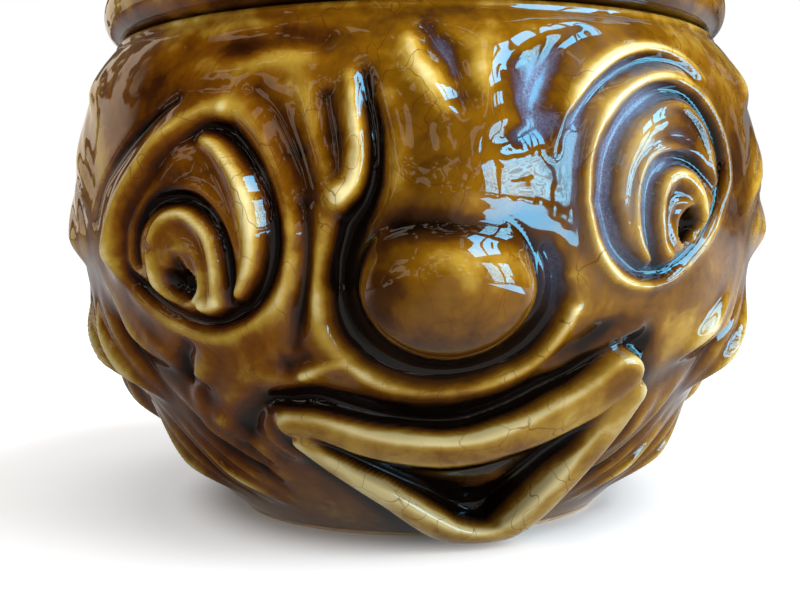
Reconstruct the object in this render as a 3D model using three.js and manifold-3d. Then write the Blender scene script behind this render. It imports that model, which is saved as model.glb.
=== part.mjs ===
// A lidded chutney pot: a round slip-cast pot whose front carries a comic face in relief, and a loose domed
// lid whose collar sits inside the mouth. Millimetres, +Z up, the face looks towards -Y, the base is at z = 0.
import * as THREE from 'three';
import { mergeVertices } from 'three/addons/utils/BufferGeometryUtils.js';
import Module from 'manifold-3d';

// Pot
const SEAT_HEIGHT = 75;
const BELLY_HEIGHT = 47;
const BELLY_RADIUS = 56.0;
const BASE_RADIUS = 30.5;
const BASE_ROUND = 0.8;
const SHOULDER_RADIUS = 49.2;
const SEAT_ROUND = 1.4;
const MOUTH_RADIUS = 41;
const WALL = 4.8;
const FLOOR = 5;

// Lid
const SEAT_GAP = 0.3;
const COLLAR_CLEARANCE = 0.8;
const COLLAR_DEPTH = 7;
const COLLAR_WALL = 3.4;
const RIM_RADIUS = 50.8;
const RIM_THICKNESS = 8.2;
const DOME_HEIGHT = 23;
const LID_WALL = 4.2;
const KNOB_RADIUS = 9.5;
const KNOB_HEIGHT = 13;
const KNOB_NECK_RADIUS = 6.4;

// Handles of the outline's curves: how far each one reaches, in mm or as a share of a size above
const FLARE_REACH = 0.26;
const FLARE_RISE = 0.28;
const LOWER_BELLY_RISE = 0.64;
const UPPER_BELLY_REACH = 13;
const SHOULDER_INSET = 1.8;
const SHOULDER_DROP = 6;
const HOLLOW_FLARE = 0.2;
const HOLLOW_ROUND = 5;
const HOLLOW_LOWER_RISE = 0.6;
const HOLLOW_UPPER_REACH = 10;
const THROAT_BELOW_COLLAR = 2;
const THROAT_INSET = 2;
const THROAT_DROP = 5;
const COLLAR_EDGE = [0.8, 1];
const UNDER_DOME_FLAT = 4;
const UNDER_DOME_REACH = 24;
const UNDER_DOME_INSET = 3;
const UNDER_DOME_DROP = 8;
const RIM_INSET = 3;
const RIM_BULGE = 1;
const RIM_TOP_INSET = 3.4;
const DOME_FOOT_INSET = 4.6;
const DOME_FOOT_LIFT = 0.4;
const DOME_LEAN = 8;
const DOME_RISE = 15;
const DOME_CROWN_REACH = 17;
const NECK_FILLET = 1;
const NECK_HEIGHT = 1.6;
const NECK_SPREAD = 0.2;
const KNOB_UNDERSIDE = 3;
const KNOB_UNDERCUT = 3.5;
const KNOB_WIDEST = 0.55;
const KNOB_SHOULDER = 1.5;
const KNOB_CROWN = 0.6;

// Fineness of the surfaces
// Columns of the relief: spans of bearing, each with its start in degrees and its count, finest over the eyes.
const COLUMN_SPANS = [[-54, 22], [-18, 14], [12, 24], [50, 55]];
const CHIN_ROWS = 18;
const FACE_ROWS = 26;
const FACE_ROWS_START = 30;
const CURVE_FINENESS = [240, 160];
const HOLLOW_PIECES = [7, 5];
const HOLLOW_SEGMENTS = 40;
const LID_PIECES = [5, 7, 7, 3, 3];
const LID_SEGMENTS = 52;

// Relief: deepest cut, so that the wall behind it stays sound, and the hair's strength, count and slant
const DEEPEST_CUT = -2.3;
const HAIR_LIFT = 3.4;
const HAIR_LOCKS = 20;
const HAIR_SLANT = 0.32;
// A lock of hair: its length in steps, how it is set off from its neighbour, and where it rises and fades.
const LOCK_LENGTH = 20;
const LOCK_STAGGER = 0.62;
const LOCK_UNEVENNESS = 0.2;
const LOCK_TIP_ROUNDING = 0.6;
const LOCK_TIP_SHARE = 0.3;
const LOCK_ROOT_SHARE = 0.34;
const HAIR_BEND = [0.9, 0.6];
const HAIR_SINK = 0.3;
// Above these steps the hair lies flatter, by this share.
const HAIR_CALM = 0.65;
const HAIR_CALM_STEPS = [30, 50];
// Bearings at which the hair begins on each side of the face, beside the eyes and beside the chin.
const HAIR_EDGE_LEFT = [62, 33];
const HAIR_EDGE_RIGHT = [56, 31];
// Where ridges cross, they join as the root of the sum of their powers of this degree. So do the cuts.
const JOINING = 4;
// Shares of a lip's half-width between which it gives way to the face
const LIP_EDGE = [0.6, 1.4];
const LIP_FLATNESS = 0.5;
// How the nose's side rises: blunt below, sloping where the bridge runs into it
const NOSE_FIRMNESS = [0.5, 1.15];
// Rounding in mm where the nose rises out of the face
const NOSE_ROUNDING = 2.4;

// Heights in the relief are counted in steps, with this many from the base to the seat.
const STEPS = 75;
const STEP = SEAT_HEIGHT / STEPS;

// A line of relief passes through places given as [bearing in degrees from the middle of the face, height in
// steps]. It has a half-width and a lift in mm, each at its start, middle and end.
const line = (width, lift, places) => ({ width, lift, places });
const even = (value) => [value, value, value];

const LEFT_EYE = [
  line([3.6, 3, 1.8], [3, 2.9, 1.2], [[-50.7, 42.8], [-49.2, 45.8], [-47.3, 48.8], [-44.8, 51.6],
    [-42.2, 54.1], [-39.8, 56.3], [-37.6, 58], [-35.5, 59.2], [-32.9, 60.2], [-30.4, 60.6]]),
  line([0.9, 1, 0.8], [-0.4, -0.7, -0.4], [[-59.3, 46.9], [-56.1, 51.7], [-52.1, 54.8], [-48.2, 57.4],
    [-44.3, 59.6], [-41.2, 61.4], [-38.4, 62.8]]),
  line([1.3, 1.9, 1.3], [-1.5, -2, -1.5], [[-48.5, 42.2], [-46.4, 47.2], [-41.8, 52.6], [-36.6, 57.4],
    [-31.4, 58.9], [-26.1, 54.4], [-23.2, 48.6], [-23.1, 42], [-26.5, 36.3], [-34.1, 33.4], [-43, 35.7],
    [-48.4, 39.6], [-48.6, 41.3]]),
  line([1.5, 1.6, 1.5], [0.4, 1, 0.5], [[-29, 61.4], [-24.5, 57.1], [-21.6, 50.9], [-19.6, 44.3],
    [-20.3, 38.7], [-24.2, 34.4], [-32.6, 31.5], [-41.6, 33.4], [-49.2, 37.7], [-50.1, 40.1]]),
  line([1.1, 2.1, 1.2], [1.4, 2.4, 1.6], [[-33.2, 57.7], [-30.8, 56.7], [-28.6, 54.7], [-26.6, 52.3],
    [-25.3, 49.8], [-24.5, 47.1], [-24.4, 44.3], [-25, 41.6], [-26.2, 39], [-27.6, 37.2]]),
  line([0.7, 0.75, 0.7], [0.5, 0.6, 0.4], [[-46.5, 42.2], [-46.3, 44.4], [-45.4, 46.8], [-43.6, 48.9],
    [-41.6, 50.2], [-39, 50.9], [-35.6, 51.2], [-32.9, 50.8], [-30.8, 49.4], [-29, 47.3], [-27.9, 44.8],
    [-27.2, 42.2], [-27, 39.6]]),
  line([0.9, 1.2, 1.3], [-1.2, -1.7, -1.8], [[-46.2, 41.3], [-45.8, 43.8], [-44.8, 46.1], [-43.2, 48],
    [-41.3, 49.3], [-38.9, 49.9], [-36.3, 49.8], [-33.8, 48.9], [-31.5, 47], [-30.1, 44.7], [-29.5, 42.1],
    [-29.6, 39.3], [-30, 36.8]]),
  line([0.8, 1.2, 1.2], [0.8, 1.6, 1.5], [[-42.1, 44.4], [-40.7, 46.2], [-38.6, 47.4], [-36.3, 47.9],
    [-34.4, 47.6], [-32.7, 46.5], [-31.4, 45], [-30.8, 43.1], [-30.6, 40.8], [-30.8, 38.4], [-31.2, 36.6],
    [-32.5, 35.3], [-34, 35.4]]),
  line([1, 1.1, 1], [0.6, 1, 0.7], [[-43, 42], [-42.8, 39.8], [-42.3, 38], [-41.4, 37]]),
  line([0.65, 0.7, 0.65], [0.3, 0.6, 0.5], [[-40.2, 41.2], [-38.4, 42.7], [-36.1, 43.3], [-34.3, 42.7],
    [-33.4, 41.3], [-33.3, 39.4], [-33.9, 37.6], [-35.5, 36.2]]),
  line([1.6, 2, 1.6], [-1.6, -3, -2], [[-38.3, 40.6], [-39.7, 38.6], [-38.6, 37.3]]),
];

const RIGHT_EYE = [
  line([0.8, 1.3, 0.7], [0.4, 1.4, 0.3], [[14.1, 55], [14.9, 57.5], [16.1, 59.7], [17.9, 61.9], [20, 64],
    [22.8, 65.9], [26.1, 67.6], [30.2, 68.7], [34.6, 69.1], [38.7, 68.6], [42, 67.3], [44.2, 65.7]]),
  line([0.8, 1.2, 0.8], [-0.6, -1.4, -0.4], [[17.3, 58.6], [18.9, 60.8], [21.4, 63.1], [24.5, 65.1],
    [28.1, 66.5], [31.9, 67.4], [35.8, 67.5], [39.3, 66.9], [41.7, 65.4]]),
  line([0.9, 0.95, 0.9], even(1.1), [[18.5, 48.8], [19.1, 54.3], [21.7, 59.2], [26.5, 63.1], [33.5, 65],
    [41.1, 63.4], [46, 58.6], [47.5, 52.4], [44.6, 46.8], [39.9, 42.1], [32.9, 38.3], [24.7, 38.3],
    [20.3, 42.9], [18.5, 48.8]]),
  line([1.3, 1.3, 1.4], even(-1.6), [[21.7, 48.8], [22.7, 54.4], [26.1, 59.3], [32.6, 63], [39, 63.3],
    [43.9, 59.7], [46.3, 54.3], [45.3, 49.2], [41.4, 44.4], [35.6, 40.3], [29.4, 39.4], [23.9, 42.8],
    [21.7, 48.8]]),
  line([1, 2.5, 1.2], [0.6, 0.9, 0.5], [[28.3, 41], [25.6, 43.7], [24.2, 46.9], [23.9, 50], [24.6, 52.8],
    [26.5, 55.5], [29, 57.6], [32.3, 58.7], [35.6, 58.1], [37.9, 56.6], [40.1, 54.4], [42.3, 51.6]]),
  line([0.7, 0.8, 0.8], [0.6, 0.6, 0.8], [[28.8, 40.5], [24.1, 44.9], [22.5, 50.1], [24.5, 55.7],
    [29.5, 60], [35.9, 61.4], [40.3, 58.6], [41.9, 53.3], [43.2, 50.8]]),
  line([0.8, 0.9, 0.8], [0.9, 1.1, 0.8], [[28.8, 40.8], [27, 43.1], [26.1, 46], [25.9, 48.6], [26.3, 51.2],
    [27.3, 53.3], [29.1, 54.9], [31.8, 55.6], [35, 55.5], [38.3, 54.5], [40.8, 52.9], [43.2, 50.8]]),
  line([0.9, 1.1, 0.9], [-1.3, -1.6, -1.1], [[30.6, 40.6], [29.3, 43.6], [28.6, 46.6], [28.7, 49.3],
    [29.5, 51.5], [31.2, 53.1], [33.8, 54.1], [36.5, 54.2], [38.9, 53.4], [41.1, 52], [44.2, 49.8]]),
  line([1.1, 1.7, 1.1], [0.9, 1.5, 1], [[33.2, 40.9], [30.9, 42.9], [30.1, 45.2], [29.7, 47.5], [30, 49.8],
    [31.2, 51.6], [33.2, 52.3], [35.6, 51.4], [37.8, 49.8], [39.1, 47.9], [40.1, 45.9], [39, 44.1]]),
  line([0.6, 0.65, 0.6], [0.4, 0.6, 0.4], [[33.7, 43.1], [32.4, 44.9], [31.7, 46.8], [32.5, 48.3],
    [34.6, 48.6], [37.7, 47.9], [39.5, 46.1], [39.3, 44.4]]),
  line([1.4, 1.7, 1.4], [-1.8, -2.8, -1.8], [[37.7, 46.7], [38.8, 45.3], [37.7, 44]]),
];

const BROW_AND_BRIDGE = [
  line([1.3, 1.6, 1.8], [1, 2.4, 3], [[-11.5, 64.1], [-11.2, 61.8], [-10.8, 59.4], [-10.3, 56.8],
    [-10.1, 54.3], [-10.4, 52.1], [-11.3, 50.3], [-12.6, 49.4]]),
  line([1.4, 1.8, 1.4], [-0.8, -1, -0.6], [[-15.1, 61.9], [-14.7, 58.8], [-14, 55.8], [-13.5, 53.1]]),
  line([1.4, 1.9, 2.2], [-0.9, -2, -2.5], [[-10.1, 64.4], [-9.5, 61.6], [-9, 58.8], [-8.8, 56.1],
    [-8.8, 53.5], [-9.1, 51.2], [-10, 49], [-11.3, 46.8], [-12.5, 44.3], [-13.5, 41.9], [-14.1, 39.1]]),
  line([1.6, 2, 1.6], [0.4, 0.8, 0.5], [[-7, 61.2], [-6.5, 58.4], [-6.1, 55.6], [-6, 52.8], [-6.2, 50.2],
    [-7, 47.8], [-8.3, 45.6]]),
  line([1.8, 2.4, 1.8], [-0.5, -0.9, -0.5], [[-39.3, 69.4], [-34.7, 69.7], [-30, 69.7], [-25.4, 69.7],
    [-20.7, 70], [-16.1, 69.7]]),
  line([2.2, 2.6, 2], [0.2, 0.45, 0.3], [[-40.1, 64.9], [-36.6, 66.4], [-32, 66.5], [-27.3, 67],
    [-23.3, 67.7], [-20, 66.6], [-18.6, 64.2]]),
  line([1.7, 2.2, 1.7], [-0.5, -0.8, -0.6], [[-25.4, 63.1], [-22.7, 60.9], [-20.5, 58], [-19, 55.2],
    [-18, 52.3], [-17.3, 49.2]]),
  line([1.6, 1.9, 1.6], [0.3, 0.6, 0.3], [[-18.6, 63.9], [-17.2, 60.6], [-16.1, 57.2], [-15.2, 53.5],
    [-14.6, 50.4]]),
  line([1.7, 2.1, 1.8], [-0.9, -1.4, -0.8], [[-1.6, 70.1], [-0.3, 68.3], [1.2, 66.3], [2.2, 63.8],
    [2.4, 61.6]]),
  line([2.2, 3.3, 2.2], [-0.8, -1.6, -1], [[21.2, 69.8], [17.5, 68.3], [14.8, 66], [12.5, 63.3],
    [11.3, 60.7], [11.5, 58.1]]),
  line([1.4, 1.6, 1.4], [-0.5, -1, -0.6], [[7.1, 55.8], [9.6, 56.8], [11.9, 57.8]]),
  line([2.2, 2.8, 2.2], [0.4, 0.9, 0.4], [[6.5, 68.1], [5.4, 64.7], [5.5, 61.5], [6.6, 58.7]]),
  line([1.6, 2, 1.6], [0.5, 1, 0.5], [[-4, 68.8], [-3.4, 65.8], [-1.7, 62.8], [0, 60.3]]),
];

const CHEEKS = [
  line([2, 2.5, 2], [-2, -2.1, -1.4], [[-13.8, 40.6], [-13.8, 35.8], [-11.4, 31.2], [-5.4, 27.8],
    [3.6, 27.2], [10.9, 29.8], [14.9, 34.4], [15.3, 37.2]]),
  line([1, 1.4, 1.1], [-1, -1.5, -1.4], [[13.3, 42.6], [14.6, 40.6], [15.2, 38.2], [15.2, 36.2]]),
  line([1.6, 1.9, 1.7], [0.6, 1.1, 0.9], [[-14.9, 45.2], [-15.5, 42.4], [-16, 39.2], [-16.3, 36.1],
    [-16.3, 33.2], [-15.5, 30.8], [-13.8, 29]]),
  line([1.4, 1.6, 1.4], [-0.8, -1.6, -1], [[-17.9, 48.6], [-17.6, 45.7], [-17.9, 42.7], [-18.5, 39.4],
    [-19.1, 36.3], [-19.8, 33.4], [-20.7, 30.7]]),
  line([1.1, 1.3, 1], [1, 1.3, 1], [[-20.1, 26.5], [-13.8, 28.2], [-9.1, 25.5], [-1.5, 24.4], [6.6, 25.3],
    [13.4, 28.3], [16.6, 32.6], [17.6, 34.7]]),
  line([1.4, 1.8, 1.3], [0.5, 0.9, 0.4], [[13.2, 27.7], [17.4, 27.1], [21.1, 27.7], [23.5, 29.3],
    [26.3, 30.8], [29.2, 32]]),
  line([1.5, 1.9, 1.5], [-0.3, -0.8, -0.4], [[17.2, 29.3], [20.5, 30.8], [23.1, 32.3], [25.2, 33.5]]),
  line([1.6, 2.2, 1.6], [-0.8, -1.4, -0.9], [[-24.8, 27.8], [-22.7, 27.8], [-19.6, 29]]),
  line([1.4, 1.8, 1.4], [-0.9, -1.7, -0.8], [[-40, 29.8], [-42.3, 27.6], [-43.2, 25.5], [-40.8, 24]]),
  line([1.3, 1.6, 1.5], [0.3, 0.7, 0.5], [[-35.4, 30.8], [-36.6, 28.2], [-40.5, 25], [-43.6, 21.8],
    [-43, 19], [-41.1, 16.9]]),
  line([1.8, 2.1, 1.9], [-1.8, -2.4, -2], [[-26.6, 23], [-19.5, 23.8], [-11.3, 21.7], [-1.9, 19.9],
    [7.9, 21], [16.6, 24.3], [23.5, 27.8], [31.2, 29.7]]),
  line([1.6, 2, 1.6], [1.2, 1.9, 1.2], [[-25.8, 21.3], [-28.2, 18.8], [-28.3, 16.3], [-26.4, 14.7]]),
  line([1.8, 2.2, 1.8], [-1, -1.6, -1], [[-28.1, 23.9], [-33.3, 20], [-37.2, 15.6], [-36, 12.1]]),
  line([1.9, 2.6, 1.9], [0.5, 1, 0.5], [[-26.2, 26.7], [-30.2, 24.5], [-33.4, 22.2], [-38.2, 19.1],
    [-43.4, 17.1]]),
];

const MOUTH_OPENING = [
  line([0.8, 3.4, 1], [-1, -3.4, -1], [[-19.4, 16.3], [-15.6, 14.2], [-10.9, 12.2], [-5.4, 9.9], [1.7, 7.7],
    [9.1, 6.9], [15, 8.2], [18.1, 11.1], [20.5, 13.9], [23.3, 16], [25.6, 17.8]]),
];

const LIPS = [
  line([2.6, 3.4, 4.2], [3.4, 6, 4.6], [[-23.4, 19.4], [-19.4, 19.3], [-15.8, 18.5], [-11.9, 17.4],
    [-7.7, 16.7], [-3.3, 16.2], [1, 16], [5.4, 16.4], [9.8, 17.5], [14.1, 18.8], [18.4, 20.6], [22.7, 22.6],
    [26.6, 25.6]]),
  line([1.9, 3.1, 3.2], [3.2, 8.4, 4.4], [[-22.5, 16.7], [-18.3, 13.6], [-13.3, 10.8], [-7.6, 7.8],
    [-2.7, 5.1], [2.4, 2.8], [8.1, 1.8], [14, 2.1], [18, 4.3], [21.4, 8.2], [24.7, 12.7], [27.7, 17.4],
    [29.8, 22.5]]),
];

// Broad swells and hollows: bearing, height, half-width and half-height in mm, lift in mm.
const SWELLS = [
  [1.4, 50, 9.2, 10.5, 6.0],
  [2, 64, 11, 7, 1.0],
  [-36, 44, 13, 13, 1.0],
  [32, 51, 13, 13, 1.0],
  [-23, 26, 11, 8, 1.2],
  [23, 34, 9, 7, 1.2],
  [4, 13, 20, 9, 1.2],
  [-30, 14, 12, 8, -0.6],
];

const NOSE = { bearing: 0.4, height: 38.2, halfWidth: 11.4, riseAbove: 10.4, dropBelow: 9.8, lift: 9.0 };

const radians = THREE.MathUtils.degToRad;
const smooth = THREE.MathUtils.smoothstep;

const curve = (ends, count) => {
  const points = ends.map(([r, z]) => new THREE.Vector2(r, z));
  return new THREE.CubicBezierCurve(...points).getPoints(count);
};

// The pot's plain outline from the edge of the base up to the edge of the seat.
const foot = [BASE_RADIUS, BASE_ROUND];
const belly = [BELLY_RADIUS, BELLY_HEIGHT];
const shoulder = [SHOULDER_RADIUS, SEAT_HEIGHT - SEAT_ROUND];
const lowerSide = curve([foot, [BASE_RADIUS + BELLY_RADIUS * FLARE_REACH, BELLY_HEIGHT * FLARE_RISE],
  [BELLY_RADIUS, BELLY_HEIGHT * LOWER_BELLY_RISE], belly], CURVE_FINENESS[0]);
const upperSide = curve([belly, [BELLY_RADIUS, BELLY_HEIGHT + UPPER_BELLY_REACH],
  [BELLY_RADIUS - SHOULDER_INSET, SEAT_HEIGHT - SHOULDER_DROP], shoulder], CURVE_FINENESS[1]);
const outline = [...lowerSide, ...upperSide.slice(1)];

const outlineLengths = outline.map(() => 0);
outline.forEach((point, i) => {
  if (i > 0) outlineLengths[i] = outlineLengths[i - 1] + point.distanceTo(outline[i - 1]);
});

const between = (keys, values, key) => {
  let low = 0;
  let high = keys.length - 1;
  while (high - low > 1) {
    const middle = (low + high) >> 1;
    if (keys[middle] <= key) low = middle;
    else high = middle;
  }
  const share = THREE.MathUtils.clamp((key - keys[low]) / (keys[high] - keys[low]), 0, 1);
  return values[low] + (values[high] - values[low]) * share;
};

const outlineHeights = outline.map((point) => point.y);
const outlineRadii = outline.map((point) => point.x);
const radiusAt = (height) => between(outlineHeights, outlineRadii, height);

const onForm = (bearing, radius, height) => {
  const turn = radians(bearing);
  return new THREE.Vector3(radius * Math.sin(turn), -radius * Math.cos(turn), height);
};

const LINE_PIECES = 6;

const laid = ({ width, lift, places }) => {
  const through = places.map(([bearing, steps]) => {
    const height = steps * STEP;
    return onForm(bearing, radiusAt(height), height);
  });
  const path = new THREE.CatmullRomCurve3(through, false, 'centripetal');
  const points = path.getPoints(places.length * LINE_PIECES);
  const reach = 3 * Math.max(...width);
  return { width, lift, points, reach, box: new THREE.Box3().setFromPoints(points).expandByScalar(reach) };
};

const alongThree = (values, share) => (share < 0.5
  ? values[0] + (values[1] - values[0]) * smooth(share, 0, 0.5)
  : values[1] + (values[2] - values[1]) * smooth(share, 0.5, 1));

// How far a point is from a line, and how far along the line the nearest point lies.
const nearest = ({ points }, x, y, z) => {
  let best = Infinity;
  let share = 0;
  for (let i = 0; i < points.length - 1; i += 1) {
    const a = points[i];
    const b = points[i + 1];
    const ux = b.x - a.x;
    const uy = b.y - a.y;
    const uz = b.z - a.z;
    const along = ((x - a.x) * ux + (y - a.y) * uy + (z - a.z) * uz) / (ux * ux + uy * uy + uz * uz);
    const t = Math.min(1, Math.max(0, along));
    const dx = x - a.x - t * ux;
    const dy = y - a.y - t * uy;
    const dz = z - a.z - t * uz;
    const gap = dx * dx + dy * dy + dz * dz;
    if (gap < best) {
      best = gap;
      share = (i + t) / (points.length - 1);
    }
  }
  return [Math.sqrt(best), share];
};

// The lift that a line gives to a point.
const liftOf = (stroke, point) => {
  if (!stroke.box.containsPoint(point)) return 0;
  const [gap, share] = nearest(stroke, point.x, point.y, point.z);
  const width = alongThree(stroke.width, share);
  return alongThree(stroke.lift, share) * Math.exp(-((gap / width) ** 2));
};

// A lip is a round band laid over the face: its height at a point, and how fully it covers the face there.
const bandOf = (stroke, point) => {
  if (!stroke.box.containsPoint(point)) return [0, 0];
  const [gap, share] = nearest(stroke, point.x, point.y, point.z);
  const across = gap / alongThree(stroke.width, share);
  const rise = Math.sqrt(Math.max(0, 1 - LIP_FLATNESS * across ** 2));
  return [alongThree(stroke.lift, share) * rise, 1 - smooth(across, ...LIP_EDGE)];
};

const softLines = [...LEFT_EYE, ...RIGHT_EYE, ...BROW_AND_BRIDGE, ...CHEEKS, ...MOUTH_OPENING].map(laid);
const ridges = softLines.filter((stroke) => stroke.lift[1] > 0);
const cuts = softLines.filter((stroke) => stroke.lift[1] <= 0);
const lips = LIPS.map(laid);

const joined = (strokes, point) => {
  const total = strokes.reduce((sum, stroke) => sum + Math.abs(liftOf(stroke, point)) ** JOINING, 0);
  return total ** (1 / JOINING);
};

const swellOf = ([bearing, steps, halfWidth, halfHeight, lift], turn, height) => {
  const across = radians(turn - bearing) * BELLY_RADIUS / halfWidth;
  const up = (height - steps * STEP) / halfHeight;
  return lift * Math.exp(-(across ** 2) - up ** 2);
};

const mix = (from, to, share) => from + (to - from) * share;

const roundedMax = (first, second, rounding) => {
  const apart = Math.hypot(first - second, rounding);
  return (first + second + apart - rounding * 0.2) / 2;
};

// The nose: how high its ball stands at a place, and how fully it covers the face there.
const noseOf = (turn, height) => {
  const { bearing, height: steps, halfWidth, riseAbove, dropBelow, lift } = NOSE;
  const across = radians(turn - bearing) * BELLY_RADIUS / halfWidth;
  const above = height - steps * STEP;
  const up = above / (above > 0 ? riseAbove : dropBelow);
  const room = Math.max(0, 1 - across ** 2 - up ** 2);
  const firmness = mix(...NOSE_FIRMNESS, smooth(up, -0.2, 0.9));
  return [lift * room ** firmness, smooth(room, 0, 0.15)];
};

// Hair round the sides and back: slanting locks with rounded tips, mirrored about the face.
const hairOf = (turn, height) => {
  const steps = height / STEP;
  const around = radians(Math.abs(turn));
  const [sway, ripple] = HAIR_BEND;
  const bend = sway * Math.sin(3 * around + 0.1 * steps) + ripple * Math.sin(0.17 * steps - 6 * around);
  const across = (HAIR_LOCKS * around - HAIR_SLANT * steps + bend) / (2 * Math.PI);
  const lock = Math.floor(across + 0.5);
  const beside = across - lock;
  const start = LOCK_STAGGER * lock + LOCK_UNEVENNESS * Math.sin(2.4 * lock);
  const along = steps / LOCK_LENGTH + start - LOCK_TIP_ROUNDING * beside ** 2;
  const up = along - Math.floor(along);
  const tip = smooth(up, 0, LOCK_TIP_SHARE) * (1 - smooth(up, LOCK_ROOT_SHARE, 1));
  const calm = 1 - HAIR_CALM * smooth(steps, ...HAIR_CALM_STEPS);
  return HAIR_LIFT * calm * (Math.cos(Math.PI * beside) * tip - HAIR_SINK);
};

const hairCover = (turn, height) => {
  const steps = height / STEP;
  const [high, low] = turn > 0 ? HAIR_EDGE_RIGHT : HAIR_EDGE_LEFT;
  const edge = low + (high - low) * smooth(steps, 16, 44);
  return smooth(Math.abs(turn), edge - 3, edge + 8) * smooth(steps, 3, 10) * (1 - smooth(steps, 65, 72));
};

const relief = (turn, radius, height) => {
  const point = onForm(turn, radius, height);
  let lift = hairOf(turn, height) * hairCover(turn, height);
  SWELLS.forEach((swell) => {
    lift += swellOf(swell, turn, height);
  });
  lift += joined(ridges, point) - joined(cuts, point);
  lips.forEach((stroke) => {
    const [lip, cover] = bandOf(stroke, point);
    lift = mix(lift, Math.max(lift, lip), cover);
  });
  const [nose, noseCover] = noseOf(turn, height);
  lift = mix(lift, roundedMax(lift, nose, NOSE_ROUNDING), noseCover);
  const steps = height / STEP;
  return Math.max(lift, DEEPEST_CUT) * smooth(steps, 0, 1) * (1 - smooth(steps, STEPS - 4, STEPS - 2));
};

// Bearings of the columns, and lengths along the outline of the rows.
const columnBearings = COLUMN_SPANS.flatMap(([start, count], i) => {
  const end = i < COLUMN_SPANS.length - 1 ? COLUMN_SPANS[i + 1][0] : COLUMN_SPANS[0][0] + 360;
  return Array.from({ length: count }, (unused, j) => start + (end - start) * j / count);
});
const outlineLength = outlineLengths[outlineLengths.length - 1];
const faceStart = between(outlineHeights, outlineLengths, FACE_ROWS_START * STEP);
const rowLengths = [];
for (let i = 0; i < CHIN_ROWS; i += 1) rowLengths.push(faceStart * i / CHIN_ROWS);
for (let i = 0; i <= FACE_ROWS; i += 1) {
  rowLengths.push(faceStart + (outlineLength - faceStart) * i / FACE_ROWS);
}

const reliefNear = (bearing, length) => {
  const turn = bearing > 180 ? bearing - 360 : bearing;
  const radius = between(outlineLengths, outlineRadii, length);
  return relief(turn, radius, between(outlineLengths, outlineHeights, length));
};

// The relief is averaged over half a cell each way, so that no ridge falls between two columns or rows.
const NEAR = [[0, 0, 16], [-1, 0, 2], [1, 0, 2], [0, -1, 2], [0, 1, 2], [-1, -1, 1], [1, -1, 1], [-1, 1, 1],
  [1, 1, 1]];
const NEAR_TOTAL = 28;
const FULL_COLUMN = 4;
const FULL_ROW = 1.5;
const reliefPoint = (bearing, length, halfColumn, halfRow) => {
  const total = NEAR.reduce((sum, [across, up, weight]) => {
    const near = THREE.MathUtils.clamp(length + up * halfRow, 0, outlineLength);
    return sum + weight * reliefNear(bearing + across * halfColumn, near);
  }, 0);
  const radius = between(outlineLengths, outlineRadii, length) + total / NEAR_TOTAL;
  return onForm(bearing, radius, between(outlineLengths, outlineHeights, length));
};
const gapAfter = (values, i, full) => (i < values.length - 1 ? values[i + 1] - values[i] : full);
const rowsOfPot = rowLengths.map((length, j) => columnBearings.map((bearing, i) => reliefPoint(bearing, length,
  gapAfter(columnBearings, i, FULL_COLUMN) / 2, gapAfter(rowLengths, j, FULL_ROW) / 2)));

const plainRow = (radius, height) => columnBearings.map((bearing) => onForm(bearing, radius, height));
const seatEdge = [];
for (let i = 1; i <= 3; i += 1) {
  const bend = i * Math.PI / 6;
  seatEdge.push(plainRow(SHOULDER_RADIUS - SEAT_ROUND * (1 - Math.cos(bend)),
    SEAT_HEIGHT - SEAT_ROUND * (1 - Math.sin(bend))));
}
const rows = [plainRow(BASE_RADIUS - BASE_ROUND, 0), ...rowsOfPot, ...seatEdge];

// A closed solid from rings of points, with a middle point under the first ring and over the last.
const solidOfRows = (rings) => {
  const across = rings[0].length;
  const places = rings.flat().flatMap((point) => [point.x, point.y, point.z]);
  const bottom = places.length / 3;
  places.push(0, 0, rings[0][0].z, 0, 0, rings[rings.length - 1][0].z);
  const faces = [];
  const lastRing = (rings.length - 1) * across;
  for (let i = 0; i < across; i += 1) {
    const next = (i + 1) % across;
    faces.push(bottom, next, i);
    for (let j = 0; j < rings.length - 1; j += 1) {
      const here = j * across;
      const above = here + across;
      const rising = rings[j][i].distanceTo(rings[j + 1][next]);
      const falling = rings[j][next].distanceTo(rings[j + 1][i]);
      if (rising < falling) faces.push(here + i, here + next, above + next, here + i, above + next, above + i);
      else faces.push(here + i, here + next, above + i, here + next, above + next, above + i);
    }
    faces.push(bottom + 1, lastRing + i, lastRing + next);
  }
  return new wasm.Manifold(new wasm.Mesh({
    numProp: 3,
    vertProperties: new Float32Array(places),
    triVerts: new Uint32Array(faces),
  }));
};

const lathe = (points, segments) => {
  const geometry = new THREE.LatheGeometry(points, segments);
  geometry.rotateX(Math.PI / 2);
  geometry.deleteAttribute('normal');
  geometry.deleteAttribute('uv');
  return mergeVertices(geometry, 1e-4);
};

const solidOfGeometry = (geometry) => new wasm.Manifold(new wasm.Mesh({
  numProp: 3,
  vertProperties: new Float32Array(geometry.attributes.position.array),
  triVerts: new Uint32Array(geometry.index.array),
}));

const geometryOfSolid = (solid) => {
  const mesh = solid.getMesh();
  const geometry = new THREE.BufferGeometry();
  geometry.setAttribute('position', new THREE.BufferAttribute(mesh.vertProperties.slice(), 3));
  geometry.setIndex([...mesh.triVerts]);
  geometry.computeVertexNormals();
  return geometry;
};

const wasm = await Module();
wasm.setup();

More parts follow.
